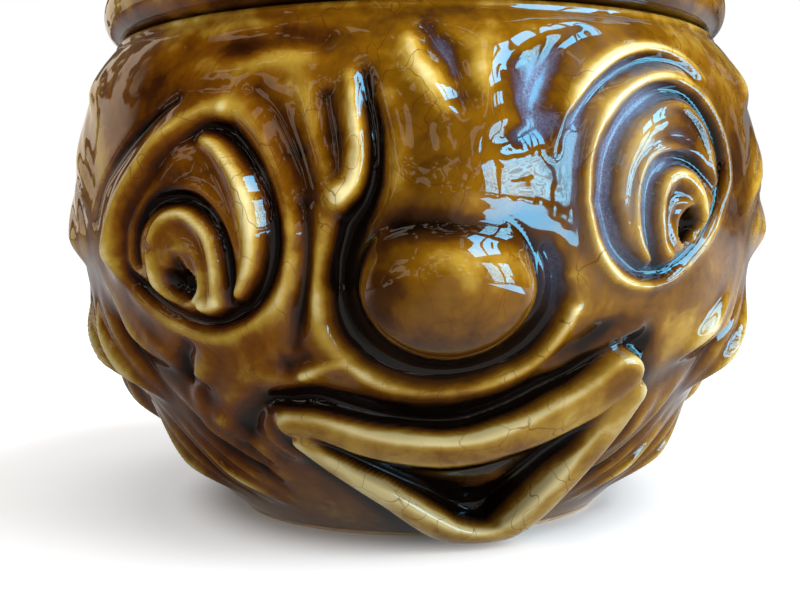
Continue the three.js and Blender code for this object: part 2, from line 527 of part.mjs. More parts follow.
// The hollow follows the plain outline at the wall's thickness and opens through the seat as the mouth.
const insideRadius = BELLY_RADIUS - WALL;
const insideFloor = FLOOR;
const throat = SEAT_HEIGHT - COLLAR_DEPTH - THROAT_BELOW_COLLAR;
const hollowOutline = [
  new THREE.Vector2(0, insideFloor),
  ...curve([[BASE_RADIUS - WALL, insideFloor], [BASE_RADIUS + BELLY_RADIUS * HOLLOW_FLARE, insideFloor + HOLLOW_ROUND],
    [insideRadius, BELLY_HEIGHT * HOLLOW_LOWER_RISE], [insideRadius, BELLY_HEIGHT]], HOLLOW_PIECES[0]),
  ...curve([[insideRadius, BELLY_HEIGHT], [insideRadius, BELLY_HEIGHT + HOLLOW_UPPER_REACH],
    [insideRadius - THROAT_INSET, throat - THROAT_DROP], [MOUTH_RADIUS, throat]], HOLLOW_PIECES[1]).slice(1),
  new THREE.Vector2(MOUTH_RADIUS, SEAT_HEIGHT + 1),
  new THREE.Vector2(0, SEAT_HEIGHT + 1),
];

const potSolid = solidOfRows(rows).subtract(solidOfGeometry(lathe(hollowOutline, HOLLOW_SEGMENTS)));

// The lid: collar inside the mouth, rounded rim over the seat, dome and knob, hollow underneath.
const rimFloor = SEAT_HEIGHT + SEAT_GAP;
const rimTop = rimFloor + RIM_THICKNESS;
const collarRadius = MOUTH_RADIUS - COLLAR_CLEARANCE;
const collarInside = collarRadius - COLLAR_WALL;
const collarFloor = rimFloor - COLLAR_DEPTH;
const domeTop = rimTop + DOME_HEIGHT;
const knobTop = domeTop + KNOB_HEIGHT;
const underDome = domeTop - LID_WALL;
const domeFoot = RIM_RADIUS - DOME_FOOT_INSET;
const [edgeWidth, edgeHeight] = COLLAR_EDGE;
const knobWidest = domeTop + KNOB_HEIGHT * KNOB_WIDEST;
const lidOutline = [
  new THREE.Vector2(0, underDome),
  ...curve([[UNDER_DOME_FLAT, underDome], [UNDER_DOME_REACH, underDome],
    [collarInside - UNDER_DOME_INSET, rimTop + UNDER_DOME_DROP], [collarInside, rimFloor]], LID_PIECES[0]),
  new THREE.Vector2(collarInside, collarFloor + edgeHeight),
  new THREE.Vector2(collarInside + edgeWidth, collarFloor),
  new THREE.Vector2(collarRadius - edgeWidth, collarFloor),
  new THREE.Vector2(collarRadius, collarFloor + edgeHeight),
  new THREE.Vector2(collarRadius, rimFloor),
  ...curve([[RIM_RADIUS - RIM_INSET, rimFloor], [RIM_RADIUS + RIM_BULGE, rimFloor],
    [RIM_RADIUS + RIM_BULGE, rimTop], [RIM_RADIUS - RIM_TOP_INSET, rimTop]], LID_PIECES[1]),
  ...curve([[domeFoot, rimTop + DOME_FOOT_LIFT], [domeFoot - DOME_LEAN, rimTop + DOME_RISE],
    [KNOB_NECK_RADIUS + DOME_CROWN_REACH, domeTop], [KNOB_NECK_RADIUS, domeTop + NECK_FILLET]], LID_PIECES[2]),
  ...curve([[KNOB_NECK_RADIUS, domeTop + NECK_HEIGHT], [KNOB_NECK_RADIUS + NECK_SPREAD, domeTop + KNOB_UNDERSIDE],
    [KNOB_RADIUS, domeTop + KNOB_UNDERCUT], [KNOB_RADIUS, knobWidest]], LID_PIECES[3]),
  ...curve([[KNOB_RADIUS, knobWidest], [KNOB_RADIUS, knobTop - KNOB_SHOULDER],
    [KNOB_RADIUS * KNOB_CROWN, knobTop], [0, knobTop]], LID_PIECES[4]).slice(1),
];
const lidSolid = solidOfGeometry(lathe(lidOutline, LID_SEGMENTS));

const glaze = (name, colour) => {
  const material = new THREE.MeshStandardMaterial({ color: new THREE.Color(colour), roughness: 0.18, metalness: 0 });
  material.name = name;
  return material;
};

const mesh = (name, solid, material) => {
  const made = new THREE.Mesh(geometryOfSolid(solid), material);
  made.name = name;
  return made;
};

const part = new THREE.Group();
part.name = 'chutney_pot';
part.add(mesh('pot', potSolid, glaze('pot_glaze', '#8a641c')));
part.add(mesh('lid', lidSolid, glaze('lid_glaze', '#86601a')));

export default part;
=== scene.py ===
import math
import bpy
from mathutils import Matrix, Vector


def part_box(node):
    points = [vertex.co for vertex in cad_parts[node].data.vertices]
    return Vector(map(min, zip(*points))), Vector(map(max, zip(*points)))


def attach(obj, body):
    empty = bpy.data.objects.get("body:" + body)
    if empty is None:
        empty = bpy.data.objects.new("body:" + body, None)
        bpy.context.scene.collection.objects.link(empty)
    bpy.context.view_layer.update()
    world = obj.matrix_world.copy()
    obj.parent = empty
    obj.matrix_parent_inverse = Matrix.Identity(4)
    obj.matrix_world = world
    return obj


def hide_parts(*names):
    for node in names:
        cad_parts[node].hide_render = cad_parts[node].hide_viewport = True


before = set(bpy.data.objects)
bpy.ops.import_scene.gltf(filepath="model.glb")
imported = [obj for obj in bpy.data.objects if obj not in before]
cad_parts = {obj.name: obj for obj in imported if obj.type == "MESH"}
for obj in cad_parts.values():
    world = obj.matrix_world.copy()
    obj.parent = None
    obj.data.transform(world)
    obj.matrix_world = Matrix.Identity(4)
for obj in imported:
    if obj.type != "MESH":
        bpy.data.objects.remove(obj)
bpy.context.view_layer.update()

from types import SimpleNamespace

import bpy
import numpy as np
from bpy.props import FloatProperty, FloatVectorProperty, IntProperty, PointerProperty
from mathutils import Matrix, Vector

bl_info = {
    "name": "Lidded face chutney pot",
    "version": (1, 0, 0),
    "blender": (4, 5, 0),
    "location": "View3D > Sidebar > Chutney pot",
    "description": "Treacle-glazed chutney pot with a comic face in relief, its loose lid and a stage",
    "category": "Add Mesh",
}

MM = 0.001
POT_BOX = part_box("pot")
LID_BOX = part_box("lid")

# The seat gap, the rim and the knob take this much of the lid's height over the seat, and the dome the rest.
GAP_RIM_AND_KNOB = 0.0215
DOME_HEIGHT = LID_BOX[1][2] - POT_BOX[1][2] - GAP_RIM_AND_KNOB

# Heights in the relief are counted in steps, with this many from the base to the seat.
STEPS = 75

# Inner points of the plain outline: shares of the belly for its lower curve, mm for its upper curve.
BASE_FLARE, BASE_RISE, LOWER_FULLNESS = 0.26, 0.28, 0.64
SHOULDER_RISE, SHOULDER_INSET, SHOULDER_DROP = 13, 1.8, 6

# Relief: deepest cut in mm, so that the wall behind it stays sound.
DEEPEST_CUT = -2.3

# Where lines meet, their lifts are joined as the root of a sum of powers, so that they don't add up.
JOINING = 4

# How softly the nose grows out of the face, in mm.
NOSE_ROUNDING = 2.4

# Bearings at which the hair begins on each side of the face, beside the eyes and beside the chin.
HAIR_EDGE_LEFT = (62, 33)
HAIR_EDGE_RIGHT = (56, 31)

# How many steps a lock of hair is long, and by how much of that each lock is shifted from the one before.
LOCK_LENGTH = 20
LOCK_STAGGER = 0.62

# How far in mm the relief is blurred to find its ridges, broad hollows, slopes and roughness.
RIDGE_BLUR, HOLLOW_BLUR, SLOPE_BLUR, ROUGH_BLUR = 1.3, 3.2, 0.6, 2.4

# How strongly and how narrowly the glaze thins over a ridge, whose pale crest is partly thin glaze and partly
# a painted highlight, and how much thicker it gets in a hollow.
CREST_SHARE = 0.95
CREST_SHARPNESS = 1.4
HOLLOW_SHARE = 1.2

# The glaze is never taken as thinner or thicker than this, on a scale where 1 is a full pool.
GLAZE_LIMIT = 1.3

# How thin the glaze is on the broad lips and how much thicker beside them, and how much painted shade lies
# round the lower side of the nose.
LIP_THINNESS = -0.4
LIP_GUTTER = 0.45
NOSE_UNDERSIDE_SHADE = 0.5

# The glaze over the seat and inside the pot.
SEAT_GLAZE, INSIDE_GLAZE = -0.35, 0.1

# Columns of the pot's surface, finest on the face: the bearing at which each span starts, and its count.
# Then the rows of the relief and of the hollow.
COLUMN_SPANS = ((-95, 52), (-58, 112), (-10, 46), (10, 106), (54, 54), (95, 124))
SURFACE_ROWS = 184
HOLLOW_ROWS = 14

# How far below the seat the throat ends in mm, and the mouth's rounding as a share of the seat's.
THROAT_DEPTH = 9
MOUTH_ROUNDING = 0.6

# How far in mm the edge of the foot lies inside the base radius.
FOOT_INSET = 0.2

# How far in mm the dome starts inside the lid's widest radius.
DOME_INSET = 4.6

# The lid's ordinary glaze, then how much more lies on the rim, behind it and at the knob's foot, with the
# distance in mm over which that fades.
LID_GLAZE = 0.36
RIM_GLAZE, CORNER_GLAZE, KNOB_GLAZE = (-0.55, 1.3), (0.8, 1.6), (0.7, 2.0)

# How clearly the crazing shows, and the width in m of the lid's uneven patches.
POT_CRAZING, LID_CRAZING = 0.65, 0.3
UNEVENNESS_SIZE = 0.012

WHITE = (1, 1, 1, 1)
WARM_WHITE = (1.0, 0.98, 0.95)
COOL_WHITE = (0.86, 0.93, 1.0)
WARM_WALL = (1.0, 0.86, 0.68, 1)

# The ground's half-width in m, and the place that lights are pointed at.
GROUND_REACH = 6.0
POT_MIDDLE = (0, 0, 0.045)

# The window's light and what the glaze mirrors of it: bearing and elevation in degrees, distance in m.
WINDOW_PLACE, WINDOW_VIEW_PLACE = (62, 28, 0.6), (54, 26, 0.58)
WINDOW_SIZE = (0.42, 0.46)

# The other lights: name, place like the window's, width and height in m, power in watts, and colour.
FILL_LIGHTS = (
    ("low_fill", (34, 4, 0.7), (0.6, 0.3), 2.1, WARM_WHITE),
    ("left_wall", (-80, 18, 0.8), (0.5, 0.4), 0.85, (1.0, 0.86, 0.74)),
    ("ceiling", (15, 80, 0.8), (0.6, 0.6), 3.4, WARM_WHITE),
)

# The window that the glaze mirrors: its sides in m, then its dark bars, each with its axis, its middle,
# the distance from there at which its shade starts to fade, and the distance at which it ends.
WINDOW_LEFT, WINDOW_RIGHT, WINDOW_BOTTOM, WINDOW_TOP = -0.08, 0.28, -0.37, 0.34
WINDOW_BARS = (("X", 0.1, 0.012, 0.018), ("Y", -0.31, 0.008, 0.014), ("Y", 0.095, 0.05, 0.058))
WINDOW_GLOW = 18.0
SKY_LOW, SKY_HIGH = (0.26, 0.72, 1.0, 1), (0.13, 0.62, 1.0, 1)

# The patch of daylight that the glaze mirrors in the floor: its edges in m, and its colour and strength.
FLOOR_LIGHT_EDGES = (("X", ((0.17, 0.18), (0.66, 0.62))), ("Y", ((-0.26, -0.25), (-0.02, -0.03))))
FLOOR_LIGHT, FLOOR_GLOW = (0.2, 0.7, 1.1, 1), 13.0
FLOOR_TONE = (0.92, 0.89, 0.85, 1)

# The painted shade round the pot on the floor is measured from a little behind its axis, and narrower
# sideways.
SHADE_SQUEEZE, SHADE_SHIFT = (1.15, 1.0, 1.0), (0.0, -0.005, 0.0)


def line(width, lift, *places):
    """A line of relief: half-widths and lifts at start, middle and end, then bearing and height by turns."""
    return {"width": width, "lift": lift, "places": np.reshape(places, (-1, 2))}


def even(value):
    return (value, value, value)


LEFT_EYE = (
    line((3.6, 3, 1.8), (3, 2.9, 1.2), -50.7, 42.8, -49.2, 45.8, -47.3, 48.8, -44.8, 51.6, -42.2, 54.1,
         -39.8, 56.3, -37.6, 58, -35.5, 59.2, -32.9, 60.2, -30.4, 60.6),
    line((0.9, 1, 0.8), (-0.4, -0.7, -0.4), -59.3, 46.9, -56.1, 51.7, -52.1, 54.8, -48.2, 57.4, -44.3, 59.6,
         -41.2, 61.4, -38.4, 62.8),
    line((1.3, 1.9, 1.3), (-1.5, -2, -1.5), -48.5, 42.2, -46.4, 47.2, -41.8, 52.6, -36.6, 57.4, -31.4, 58.9,
         -26.1, 54.4, -23.2, 48.6, -23.1, 42, -26.5, 36.3, -34.1, 33.4, -43, 35.7, -48.4, 39.6, -48.6, 41.3),
    line((1.5, 1.6, 1.5), (0.4, 1, 0.5), -29, 61.4, -24.5, 57.1, -21.6, 50.9, -19.6, 44.3, -20.3, 38.7,
         -24.2, 34.4, -32.6, 31.5, -41.6, 33.4, -49.2, 37.7, -50.1, 40.1),
    line((1.1, 2.1, 1.2), (1.4, 2.4, 1.6), -33.2, 57.7, -30.8, 56.7, -28.6, 54.7, -26.6, 52.3, -25.3, 49.8,
         -24.5, 47.1, -24.4, 44.3, -25, 41.6, -26.2, 39, -27.6, 37.2),
    line((0.7, 0.75, 0.7), (0.5, 0.6, 0.4), -46.5, 42.2, -46.3, 44.4, -45.4, 46.8, -43.6, 48.9, -41.6, 50.2,
         -39, 50.9, -35.6, 51.2, -32.9, 50.8, -30.8, 49.4, -29, 47.3, -27.9, 44.8, -27.2, 42.2, -27, 39.6),
    line((0.9, 1.2, 1.3), (-1.2, -1.7, -1.8), -46.2, 41.3, -45.8, 43.8, -44.8, 46.1, -43.2, 48, -41.3, 49.3,
         -38.9, 49.9, -36.3, 49.8, -33.8, 48.9, -31.5, 47, -30.1, 44.7, -29.5, 42.1, -29.6, 39.3, -30, 36.8),
    line((0.8, 1.2, 1.2), (0.8, 1.6, 1.5), -42.1, 44.4, -40.7, 46.2, -38.6, 47.4, -36.3, 47.9, -34.4, 47.6,
         -32.7, 46.5, -31.4, 45, -30.8, 43.1, -30.6, 40.8, -30.8, 38.4, -31.2, 36.6, -32.5, 35.3, -34, 35.4),
    line((1, 1.1, 1), (0.6, 1, 0.7), -43, 42, -42.8, 39.8, -42.3, 38, -41.4, 37),
    line((0.65, 0.7, 0.65), (0.3, 0.6, 0.5), -40.2, 41.2, -38.4, 42.7, -36.1, 43.3, -34.3, 42.7, -33.4, 41.3,
         -33.3, 39.4, -33.9, 37.6, -35.5, 36.2),
    line((1.6, 2, 1.6), (-1.6, -3, -2), -38.3, 40.6, -39.7, 38.6, -38.6, 37.3),
)

RIGHT_EYE = (
    line((0.8, 1.3, 0.7), (0.4, 1.4, 0.3), 14.1, 55, 14.9, 57.5, 16.1, 59.7, 17.9, 61.9, 20, 64, 22.8, 65.9,
         26.1, 67.6, 30.2, 68.7, 34.6, 69.1, 38.7, 68.6, 42, 67.3, 44.2, 65.7),
    line((0.8, 1.2, 0.8), (-0.6, -1.4, -0.4), 17.3, 58.6, 18.9, 60.8, 21.4, 63.1, 24.5, 65.1, 28.1, 66.5,
         31.9, 67.4, 35.8, 67.5, 39.3, 66.9, 41.7, 65.4),
    line((0.9, 0.95, 0.9), even(1.1), 18.5, 48.8, 19.1, 54.3, 21.7, 59.2, 26.5, 63.1, 33.5, 65, 41.1, 63.4,
         46, 58.6, 47.5, 52.4, 44.6, 46.8, 39.9, 42.1, 32.9, 38.3, 24.7, 38.3, 20.3, 42.9, 18.5, 48.8),
    line((1.3, 1.3, 1.4), even(-1.6), 21.7, 48.8, 22.7, 54.4, 26.1, 59.3, 32.6, 63, 39, 63.3, 43.9, 59.7,
         46.3, 54.3, 45.3, 49.2, 41.4, 44.4, 35.6, 40.3, 29.4, 39.4, 23.9, 42.8, 21.7, 48.8),
    line((1, 2.5, 1.2), (0.6, 0.9, 0.5), 28.3, 41, 25.6, 43.7, 24.2, 46.9, 23.9, 50, 24.6, 52.8, 26.5, 55.5,
         29, 57.6, 32.3, 58.7, 35.6, 58.1, 37.9, 56.6, 40.1, 54.4, 42.3, 51.6),
    line((0.7, 0.8, 0.8), (0.6, 0.6, 0.8), 28.8, 40.5, 24.1, 44.9, 22.5, 50.1, 24.5, 55.7, 29.5, 60,
         35.9, 61.4, 40.3, 58.6, 41.9, 53.3, 43.2, 50.8),
    line((0.8, 0.9, 0.8), (0.9, 1.1, 0.8), 28.8, 40.8, 27, 43.1, 26.1, 46, 25.9, 48.6, 26.3, 51.2,
         27.3, 53.3, 29.1, 54.9, 31.8, 55.6, 35, 55.5, 38.3, 54.5, 40.8, 52.9, 43.2, 50.8),
    line((0.9, 1.1, 0.9), (-1.3, -1.6, -1.1), 30.6, 40.6, 29.3, 43.6, 28.6, 46.6, 28.7, 49.3, 29.5, 51.5,
         31.2, 53.1, 33.8, 54.1, 36.5, 54.2, 38.9, 53.4, 41.1, 52, 44.2, 49.8),
    line((1.1, 1.7, 1.1), (0.9, 1.5, 1), 33.2, 40.9, 30.9, 42.9, 30.1, 45.2, 29.7, 47.5, 30, 49.8,
         31.2, 51.6, 33.2, 52.3, 35.6, 51.4, 37.8, 49.8, 39.1, 47.9, 40.1, 45.9, 39, 44.1),
    line((0.6, 0.65, 0.6), (0.4, 0.6, 0.4), 33.7, 43.1, 32.4, 44.9, 31.7, 46.8, 32.5, 48.3, 34.6, 48.6,
         37.7, 47.9, 39.5, 46.1, 39.3, 44.4),
    line((1.4, 1.7, 1.4), (-1.8, -2.8, -1.8), 37.7, 46.7, 38.8, 45.3, 37.7, 44),
)

BROW_AND_BRIDGE = (
    line((1.3, 1.6, 1.8), (1, 2.4, 3), -11.5, 64.1, -11.2, 61.8, -10.8, 59.4, -10.3, 56.8, -10.1, 54.3,
         -10.4, 52.1, -11.3, 50.3, -12.6, 49.4),
    line((1.4, 1.8, 1.4), (-0.8, -1, -0.6), -15.1, 61.9, -14.7, 58.8, -14, 55.8, -13.5, 53.1),
    line((1.4, 1.9, 2.2), (-0.9, -2, -2.5), -10.1, 64.4, -9.5, 61.6, -9, 58.8, -8.8, 56.1, -8.8, 53.5,
         -9.1, 51.2, -10, 49, -11.3, 46.8, -12.5, 44.3, -13.5, 41.9, -14.1, 39.1),
    line((1.6, 2, 1.6), (0.4, 0.8, 0.5), -7, 61.2, -6.5, 58.4, -6.1, 55.6, -6, 52.8, -6.2, 50.2, -7, 47.8,
         -8.3, 45.6),
    line((1.8, 2.4, 1.8), (-0.5, -0.9, -0.5), -39.3, 69.4, -34.7, 69.7, -30, 69.7, -25.4, 69.7, -20.7, 70,
         -16.1, 69.7),
    line((2.2, 2.6, 2), (0.2, 0.45, 0.3), -40.1, 64.9, -36.6, 66.4, -32, 66.5, -27.3, 67, -23.3, 67.7,
         -20, 66.6, -18.6, 64.2),
    line((1.7, 2.2, 1.7), (-0.5, -0.8, -0.6), -25.4, 63.1, -22.7, 60.9, -20.5, 58, -19, 55.2, -18, 52.3,
         -17.3, 49.2),
    line((1.6, 1.9, 1.6), (0.3, 0.6, 0.3), -18.6, 63.9, -17.2, 60.6, -16.1, 57.2, -15.2, 53.5, -14.6, 50.4),
    line((1.7, 2.1, 1.8), (-0.9, -1.4, -0.8), -1.6, 70.1, -0.3, 68.3, 1.2, 66.3, 2.2, 63.8, 2.4, 61.6),
    line((2.2, 3.3, 2.2), (-0.8, -1.6, -1), 21.2, 69.8, 17.5, 68.3, 14.8, 66, 12.5, 63.3, 11.3, 60.7,
         11.5, 58.1),
    line((1.4, 1.6, 1.4), (-0.5, -1, -0.6), 7.1, 55.8, 9.6, 56.8, 11.9, 57.8),
    line((2.2, 2.8, 2.2), (0.4, 0.9, 0.4), 6.5, 68.1, 5.4, 64.7, 5.5, 61.5, 6.6, 58.7),
    line((1.6, 2, 1.6), (0.5, 1, 0.5), -4, 68.8, -3.4, 65.8, -1.7, 62.8, 0, 60.3),
)

CHEEKS = (
    line((2, 2.5, 2), (-2, -2.1, -1.4), -13.8, 40.6, -13.8, 35.8, -11.4, 31.2, -5.4, 27.8, 3.6, 27.2,
         10.9, 29.8, 14.9, 34.4, 15.3, 37.2),
    line((1, 1.4, 1.1), (-1, -1.5, -1.4), 13.3, 42.6, 14.6, 40.6, 15.2, 38.2, 15.2, 36.2),
    line((1.6, 1.9, 1.7), (0.6, 1.1, 0.9), -14.9, 45.2, -15.5, 42.4, -16, 39.2, -16.3, 36.1, -16.3, 33.2,
         -15.5, 30.8, -13.8, 29),
    line((1.4, 1.6, 1.4), (-0.8, -1.6, -1), -17.9, 48.6, -17.6, 45.7, -17.9, 42.7, -18.5, 39.4, -19.1, 36.3,
         -19.8, 33.4, -20.7, 30.7),
    line((1.1, 1.3, 1), (1, 1.3, 1), -20.1, 26.5, -13.8, 28.2, -9.1, 25.5, -1.5, 24.4, 6.6, 25.3, 13.4, 28.3,
         16.6, 32.6, 17.6, 34.7),
    line((1.4, 1.8, 1.3), (0.5, 0.9, 0.4), 13.2, 27.7, 17.4, 27.1, 21.1, 27.7, 23.5, 29.3, 26.3, 30.8,
         29.2, 32),
    line((1.5, 1.9, 1.5), (-0.3, -0.8, -0.4), 17.2, 29.3, 20.5, 30.8, 23.1, 32.3, 25.2, 33.5),
    line((1.6, 2.2, 1.6), (-0.8, -1.4, -0.9), -24.8, 27.8, -22.7, 27.8, -19.6, 29),
    line((1.4, 1.8, 1.4), (-0.9, -1.7, -0.8), -40, 29.8, -42.3, 27.6, -43.2, 25.5, -40.8, 24),
    line((1.3, 1.6, 1.5), (0.3, 0.7, 0.5), -35.4, 30.8, -36.6, 28.2, -40.5, 25, -43.6, 21.8, -43, 19,
         -41.1, 16.9),
    line((1.8, 2.1, 1.9), (-1.8, -2.4, -2), -26.6, 23, -19.5, 23.8, -11.3, 21.7, -1.9, 19.9, 7.9, 21,
         16.6, 24.3, 23.5, 27.8, 31.2, 29.7),
    line((1.6, 2, 1.6), (1.2, 1.9, 1.2), -25.8, 21.3, -28.2, 18.8, -28.3, 16.3, -26.4, 14.7),
    line((1.8, 2.2, 1.8), (-1, -1.6, -1), -28.1, 23.9, -33.3, 20, -37.2, 15.6, -36, 12.1),
    line((1.9, 2.6, 1.9), (0.5, 1, 0.5), -26.2, 26.7, -30.2, 24.5, -33.4, 22.2, -38.2, 19.1, -43.4, 17.1),
)

MOUTH_OPENING = (
    line((0.8, 3.4, 1), (-1, -3.4, -1), -19.4, 16.3, -15.6, 14.2, -10.9, 12.2, -5.4, 9.9, 1.7, 7.7, 9.1, 6.9,
         15, 8.2, 18.1, 11.1, 20.5, 13.9, 23.3, 16, 25.6, 17.8),
)

LIPS = (
    line((2.6, 3.4, 4.2), (3.4, 6, 4.6), -23.4, 19.4, -19.4, 19.3, -15.8, 18.5, -11.9, 17.4, -7.7, 16.7,
         -3.3, 16.2, 1, 16, 5.4, 16.4, 9.8, 17.5, 14.1, 18.8, 18.4, 20.6, 22.7, 22.6, 26.6, 25.6),
    line((1.9, 3.1, 3.2), (3.2, 8.4, 4.4), -22.5, 16.7, -18.3, 13.6, -13.3, 10.8, -7.6, 7.8, -2.7, 5.1,
         2.4, 2.8, 8.1, 1.8, 14, 2.1, 18, 4.3, 21.4, 8.2, 24.7, 12.7, 27.7, 17.4, 29.8, 22.5),
)

# Broad swells and hollows: bearing, height, half-width and half-height in mm, lift in mm.
SWELLS = (
    (1.4, 50, 9.2, 10.5, 6.0),
    (2, 64, 11, 7, 1.0),
    (-36, 44, 13, 13, 1.0),
    (32, 51, 13, 13, 1.0),
    (-23, 26, 11, 8, 1.2),
    (23, 34, 9, 7, 1.2),
    (4, 13, 20, 9, 1.2),
    (-30, 14, 12, 8, -0.6),
)

# Round pits of the pupils: bearing, height, half-width, half-height and depth in mm.
PUPILS = (
    (-37.0, 38.5, 2.7, 2.4, -2.3),
    (36.6, 45.2, 2.6, 2.5, -2.3),
)

# Where a painted sheen of reflected light lies over the glaze: bearing, height, half-width and half-height in
# mm.
SHEEN_PATCHES = (
    (4.5, 67, 5, 7),
    (15, 65, 8, 9),
    (22, 54, 8, 15),
    (26, 58, 8, 8),
)

# Where the glaze ran thicker or thinner, and where shade is painted in as thicker glaze: bearing, height,
# half-width and half-height in mm, and how much.
GLAZE_AND_SHADE_PATCHES = (
    (-26, 68.5, 8, 3.5, 0.2),
    (-29.5, 69, 4, 1.6, 0.5),
    (-21.8, 66.9, 3, 1.6, -0.2),
    (-42, 65, 6, 2.5, 0.3),
    (-44, 61, 7, 5, 0.25),
    (-8.5, 38.3, 4.4, 5, 0.6),
    (-16, 14.5, 4, 1.5, -0.45),
    (-9, 11.3, 5, 1.5, -0.45),
    (25, 50, 3, 7, 0.2),
    (0, 45.8, 7.5, 1.9, 0.5),
    (12.8, 37, 1.6, 5, 0.25),
    (26, 25, 4, 3.2, 0.5),
    (-12, 9.5, 8, 3, -0.2),
    (-23.5, 15.5, 2.5, 2.5, -0.35),
    (-25.5, 45, 2.2, 6, -0.25),
    (-33, 42, 4, 4, 0.25),
    (-10, 60, 2, 3.5, 0.3),
    (-8.9, 53.9, 2, 7, 0.25),
    (15.3, 58.8, 2.6, 2, 0.5),
    (51, 48, 5, 9, 0.25),
    (-11, 64, 2.5, 4, 0.25),
    (7, 67, 3.5, 4.5, 0.35),
    (17, 66, 4, 5, 0.2),
    (35, 58, 6, 4.5, 0.45),
    (-36, 47, 5, 4, 0.2),
    (22, 34.7, 3, 3, 0.3),
    (-4, 58.8, 4, 5, 0.25),
    (-9, 24.5, 8, 2, 0.2),
    (-30, 62, 5, 3, -0.25),
    (-13, 51, 2, 5, -0.2),
    (30, 62, 9, 4, 0.15),
    (34, 51, 3, 5, 0.2),
    (-37, 52.5, 5, 3, 0.2),
    (0, 24.3, 13, 1.5, 0.2),
    (1, 27.2, 12, 1.6, -0.35),
    (-1.7, 22.2, 15, 1.5, 0.5),
    (1, 19, 11, 1.2, -0.3),
    (5, 10, 8, 3, 0.4),
    (-55, 54, 5, 6, -0.2),
    (18.5, 37.5, 5, 4, -0.2),
    (31, 37.5, 9, 1.9, 0.35),
    (39, 31, 8, 4, -0.4),
    (18, 33.5, 5, 3, -0.15),
    (22, 10, 4, 5, -0.2),
    (1, 13.6, 12, 1.2, -0.25),
)

NOSE = {"bearing": 0.4, "height": 38.2, "half_width": 11.4, "rise_above": 10.4, "drop_below": 9.8,
        "lift": 9.0}


def linear(red, green, blue):
    """A colour given in screen values from 0 to 255, as the linear values that a shader takes."""
    def one(value):
        share = value / 255
        return share / 12.92 if share <= 0.04045 else ((share + 0.055) / 1.055) ** 2.4
    return (one(red), one(green), one(blue))


def length(name, description, default):
    return FloatProperty(name=name, description=description, default=default, unit="LENGTH", precision=4,
                         min=0.0)


def angle(name, description, degrees):
    return FloatProperty(name=name, description=description, default=math.radians(degrees),
                         subtype="ANGLE", unit="ROTATION")


def colour(name, description, red, green, blue):
    return FloatVectorProperty(name=name, description=description, default=linear(red, green, blue),
                               subtype="COLOR", size=3, min=0.0, max=1.0)


class PotSizes(bpy.types.PropertyGroup):
    """Sizes of the pot's body."""
    seat_height: length("Seat height", "Height of the seat that the lid rests over", POT_BOX[1][2])
    belly_height: length("Belly height", "Height at which the plain form is widest", 0.047)
    belly_radius: length("Belly radius", "Widest radius of the plain form, without relief", 0.056)
    base_radius: length("Base radius", "Radius of the base the pot stands on", 0.0305)
    base_round: length("Base round", "Radius of the rounded edge of the base", 0.0008)
    shoulder_radius: length("Shoulder radius", "Radius of the form just under the seat", 0.0492)
    seat_round: length("Seat round", "Radius of the rounded edge of the seat", 0.0014)
    mouth_radius: length("Mouth radius", "Radius of the mouth that the lid's collar drops into", 0.041)
    wall: length("Wall", "Thickness of the cast wall", 0.0048)
    floor: length("Floor", "Thickness of the cast floor", 0.005)
    hair_lift: length("Hair lift", "Height of the slanting locks round the sides and back", 0.0034)
    hair_locks: IntProperty(name="Hair locks", description="Locks in a full turn", default=20, min=6, max=60)
    hair_slant: FloatProperty(name="Hair slant", description="Turn of a lock's phase for each step of height",
                              default=0.32, min=0.0, max=2.0)


class LidSizes(bpy.types.PropertyGroup):
    """Sizes of the lid."""
    seat_gap: length("Seat gap", "Gap between the rim and the seat", 0.0003)
    collar_clearance: length("Collar clearance", "Gap between the collar and the mouth", 0.0008)
    collar_depth: length("Collar depth", "How far the collar reaches below the rim", 0.007)
    collar_wall: length("Collar wall", "Thickness of the collar", 0.0034)
    rim_radius: length("Rim radius", "Widest radius of the rounded rim", 0.0508)
    rim_thickness: length("Rim thickness", "Height of the rounded rim", 0.0082)
    dome_height: length("Dome height", "Rise of the dome above the rim", DOME_HEIGHT)
    lid_wall: length("Lid wall", "Thickness of the dome", 0.0042)
    knob_radius: length("Knob radius", "Widest radius of the knob", 0.0095)
    knob_height: length("Knob height", "Height of the knob", 0.013)
    knob_neck: length("Knob neck", "Radius of the neck under the knob", 0.0064)
    unevenness: length("Unevenness", "How far the hand-finished surface wanders", 0.00018)
    segments: IntProperty(name="Segments", description="Steps in a full turn", default=240, min=24, max=720)


class GlazeLook(bpy.types.PropertyGroup):
    """Colours of the treacle glaze, from where it lies thinnest to where it pools, with painted highlight,
    shade and reflected sheen among them.
    """
    # The crest colour is partly thin glaze over pale clay and partly a painted highlight on the ridges.
    crest: colour("Crest", "Thin glaze over a sharp ridge", 246, 230, 164)
    ridge: colour("Ridge", "Glaze on a rounded ridge", 190, 153, 55)
    honey: colour("Honey", "Glaze of ordinary thickness", 128, 86, 9)
    treacle: colour("Treacle", "Glaze gathered in a hollow", 72, 40, 8)
    pool: colour("Pool", "Deepest pooled glaze", 14, 7, 4)
    # Umber also paints shade low on the pot, besides its flecks in the bare clay.
    umber_and_shade: colour("Umber", "Browner glaze low on the pot, and flecks in the bare clay", 78, 48, 20)
    # Haze and veil are painted reflected sheen: haze in the deepest pools, veil over the lighter glaze.
    violet_sheen: colour("Haze", "Milky violet haze in the deepest pools", 122, 126, 160)
    pale_sheen: colour("Veil", "Thin milky veil over clouded glaze", 166, 178, 178)
    crack: colour("Crack", "Fine lines of crazing", 92, 48, 10)
    bisque: colour("Bisque", "Unglazed clay of the foot", 214, 190, 158)


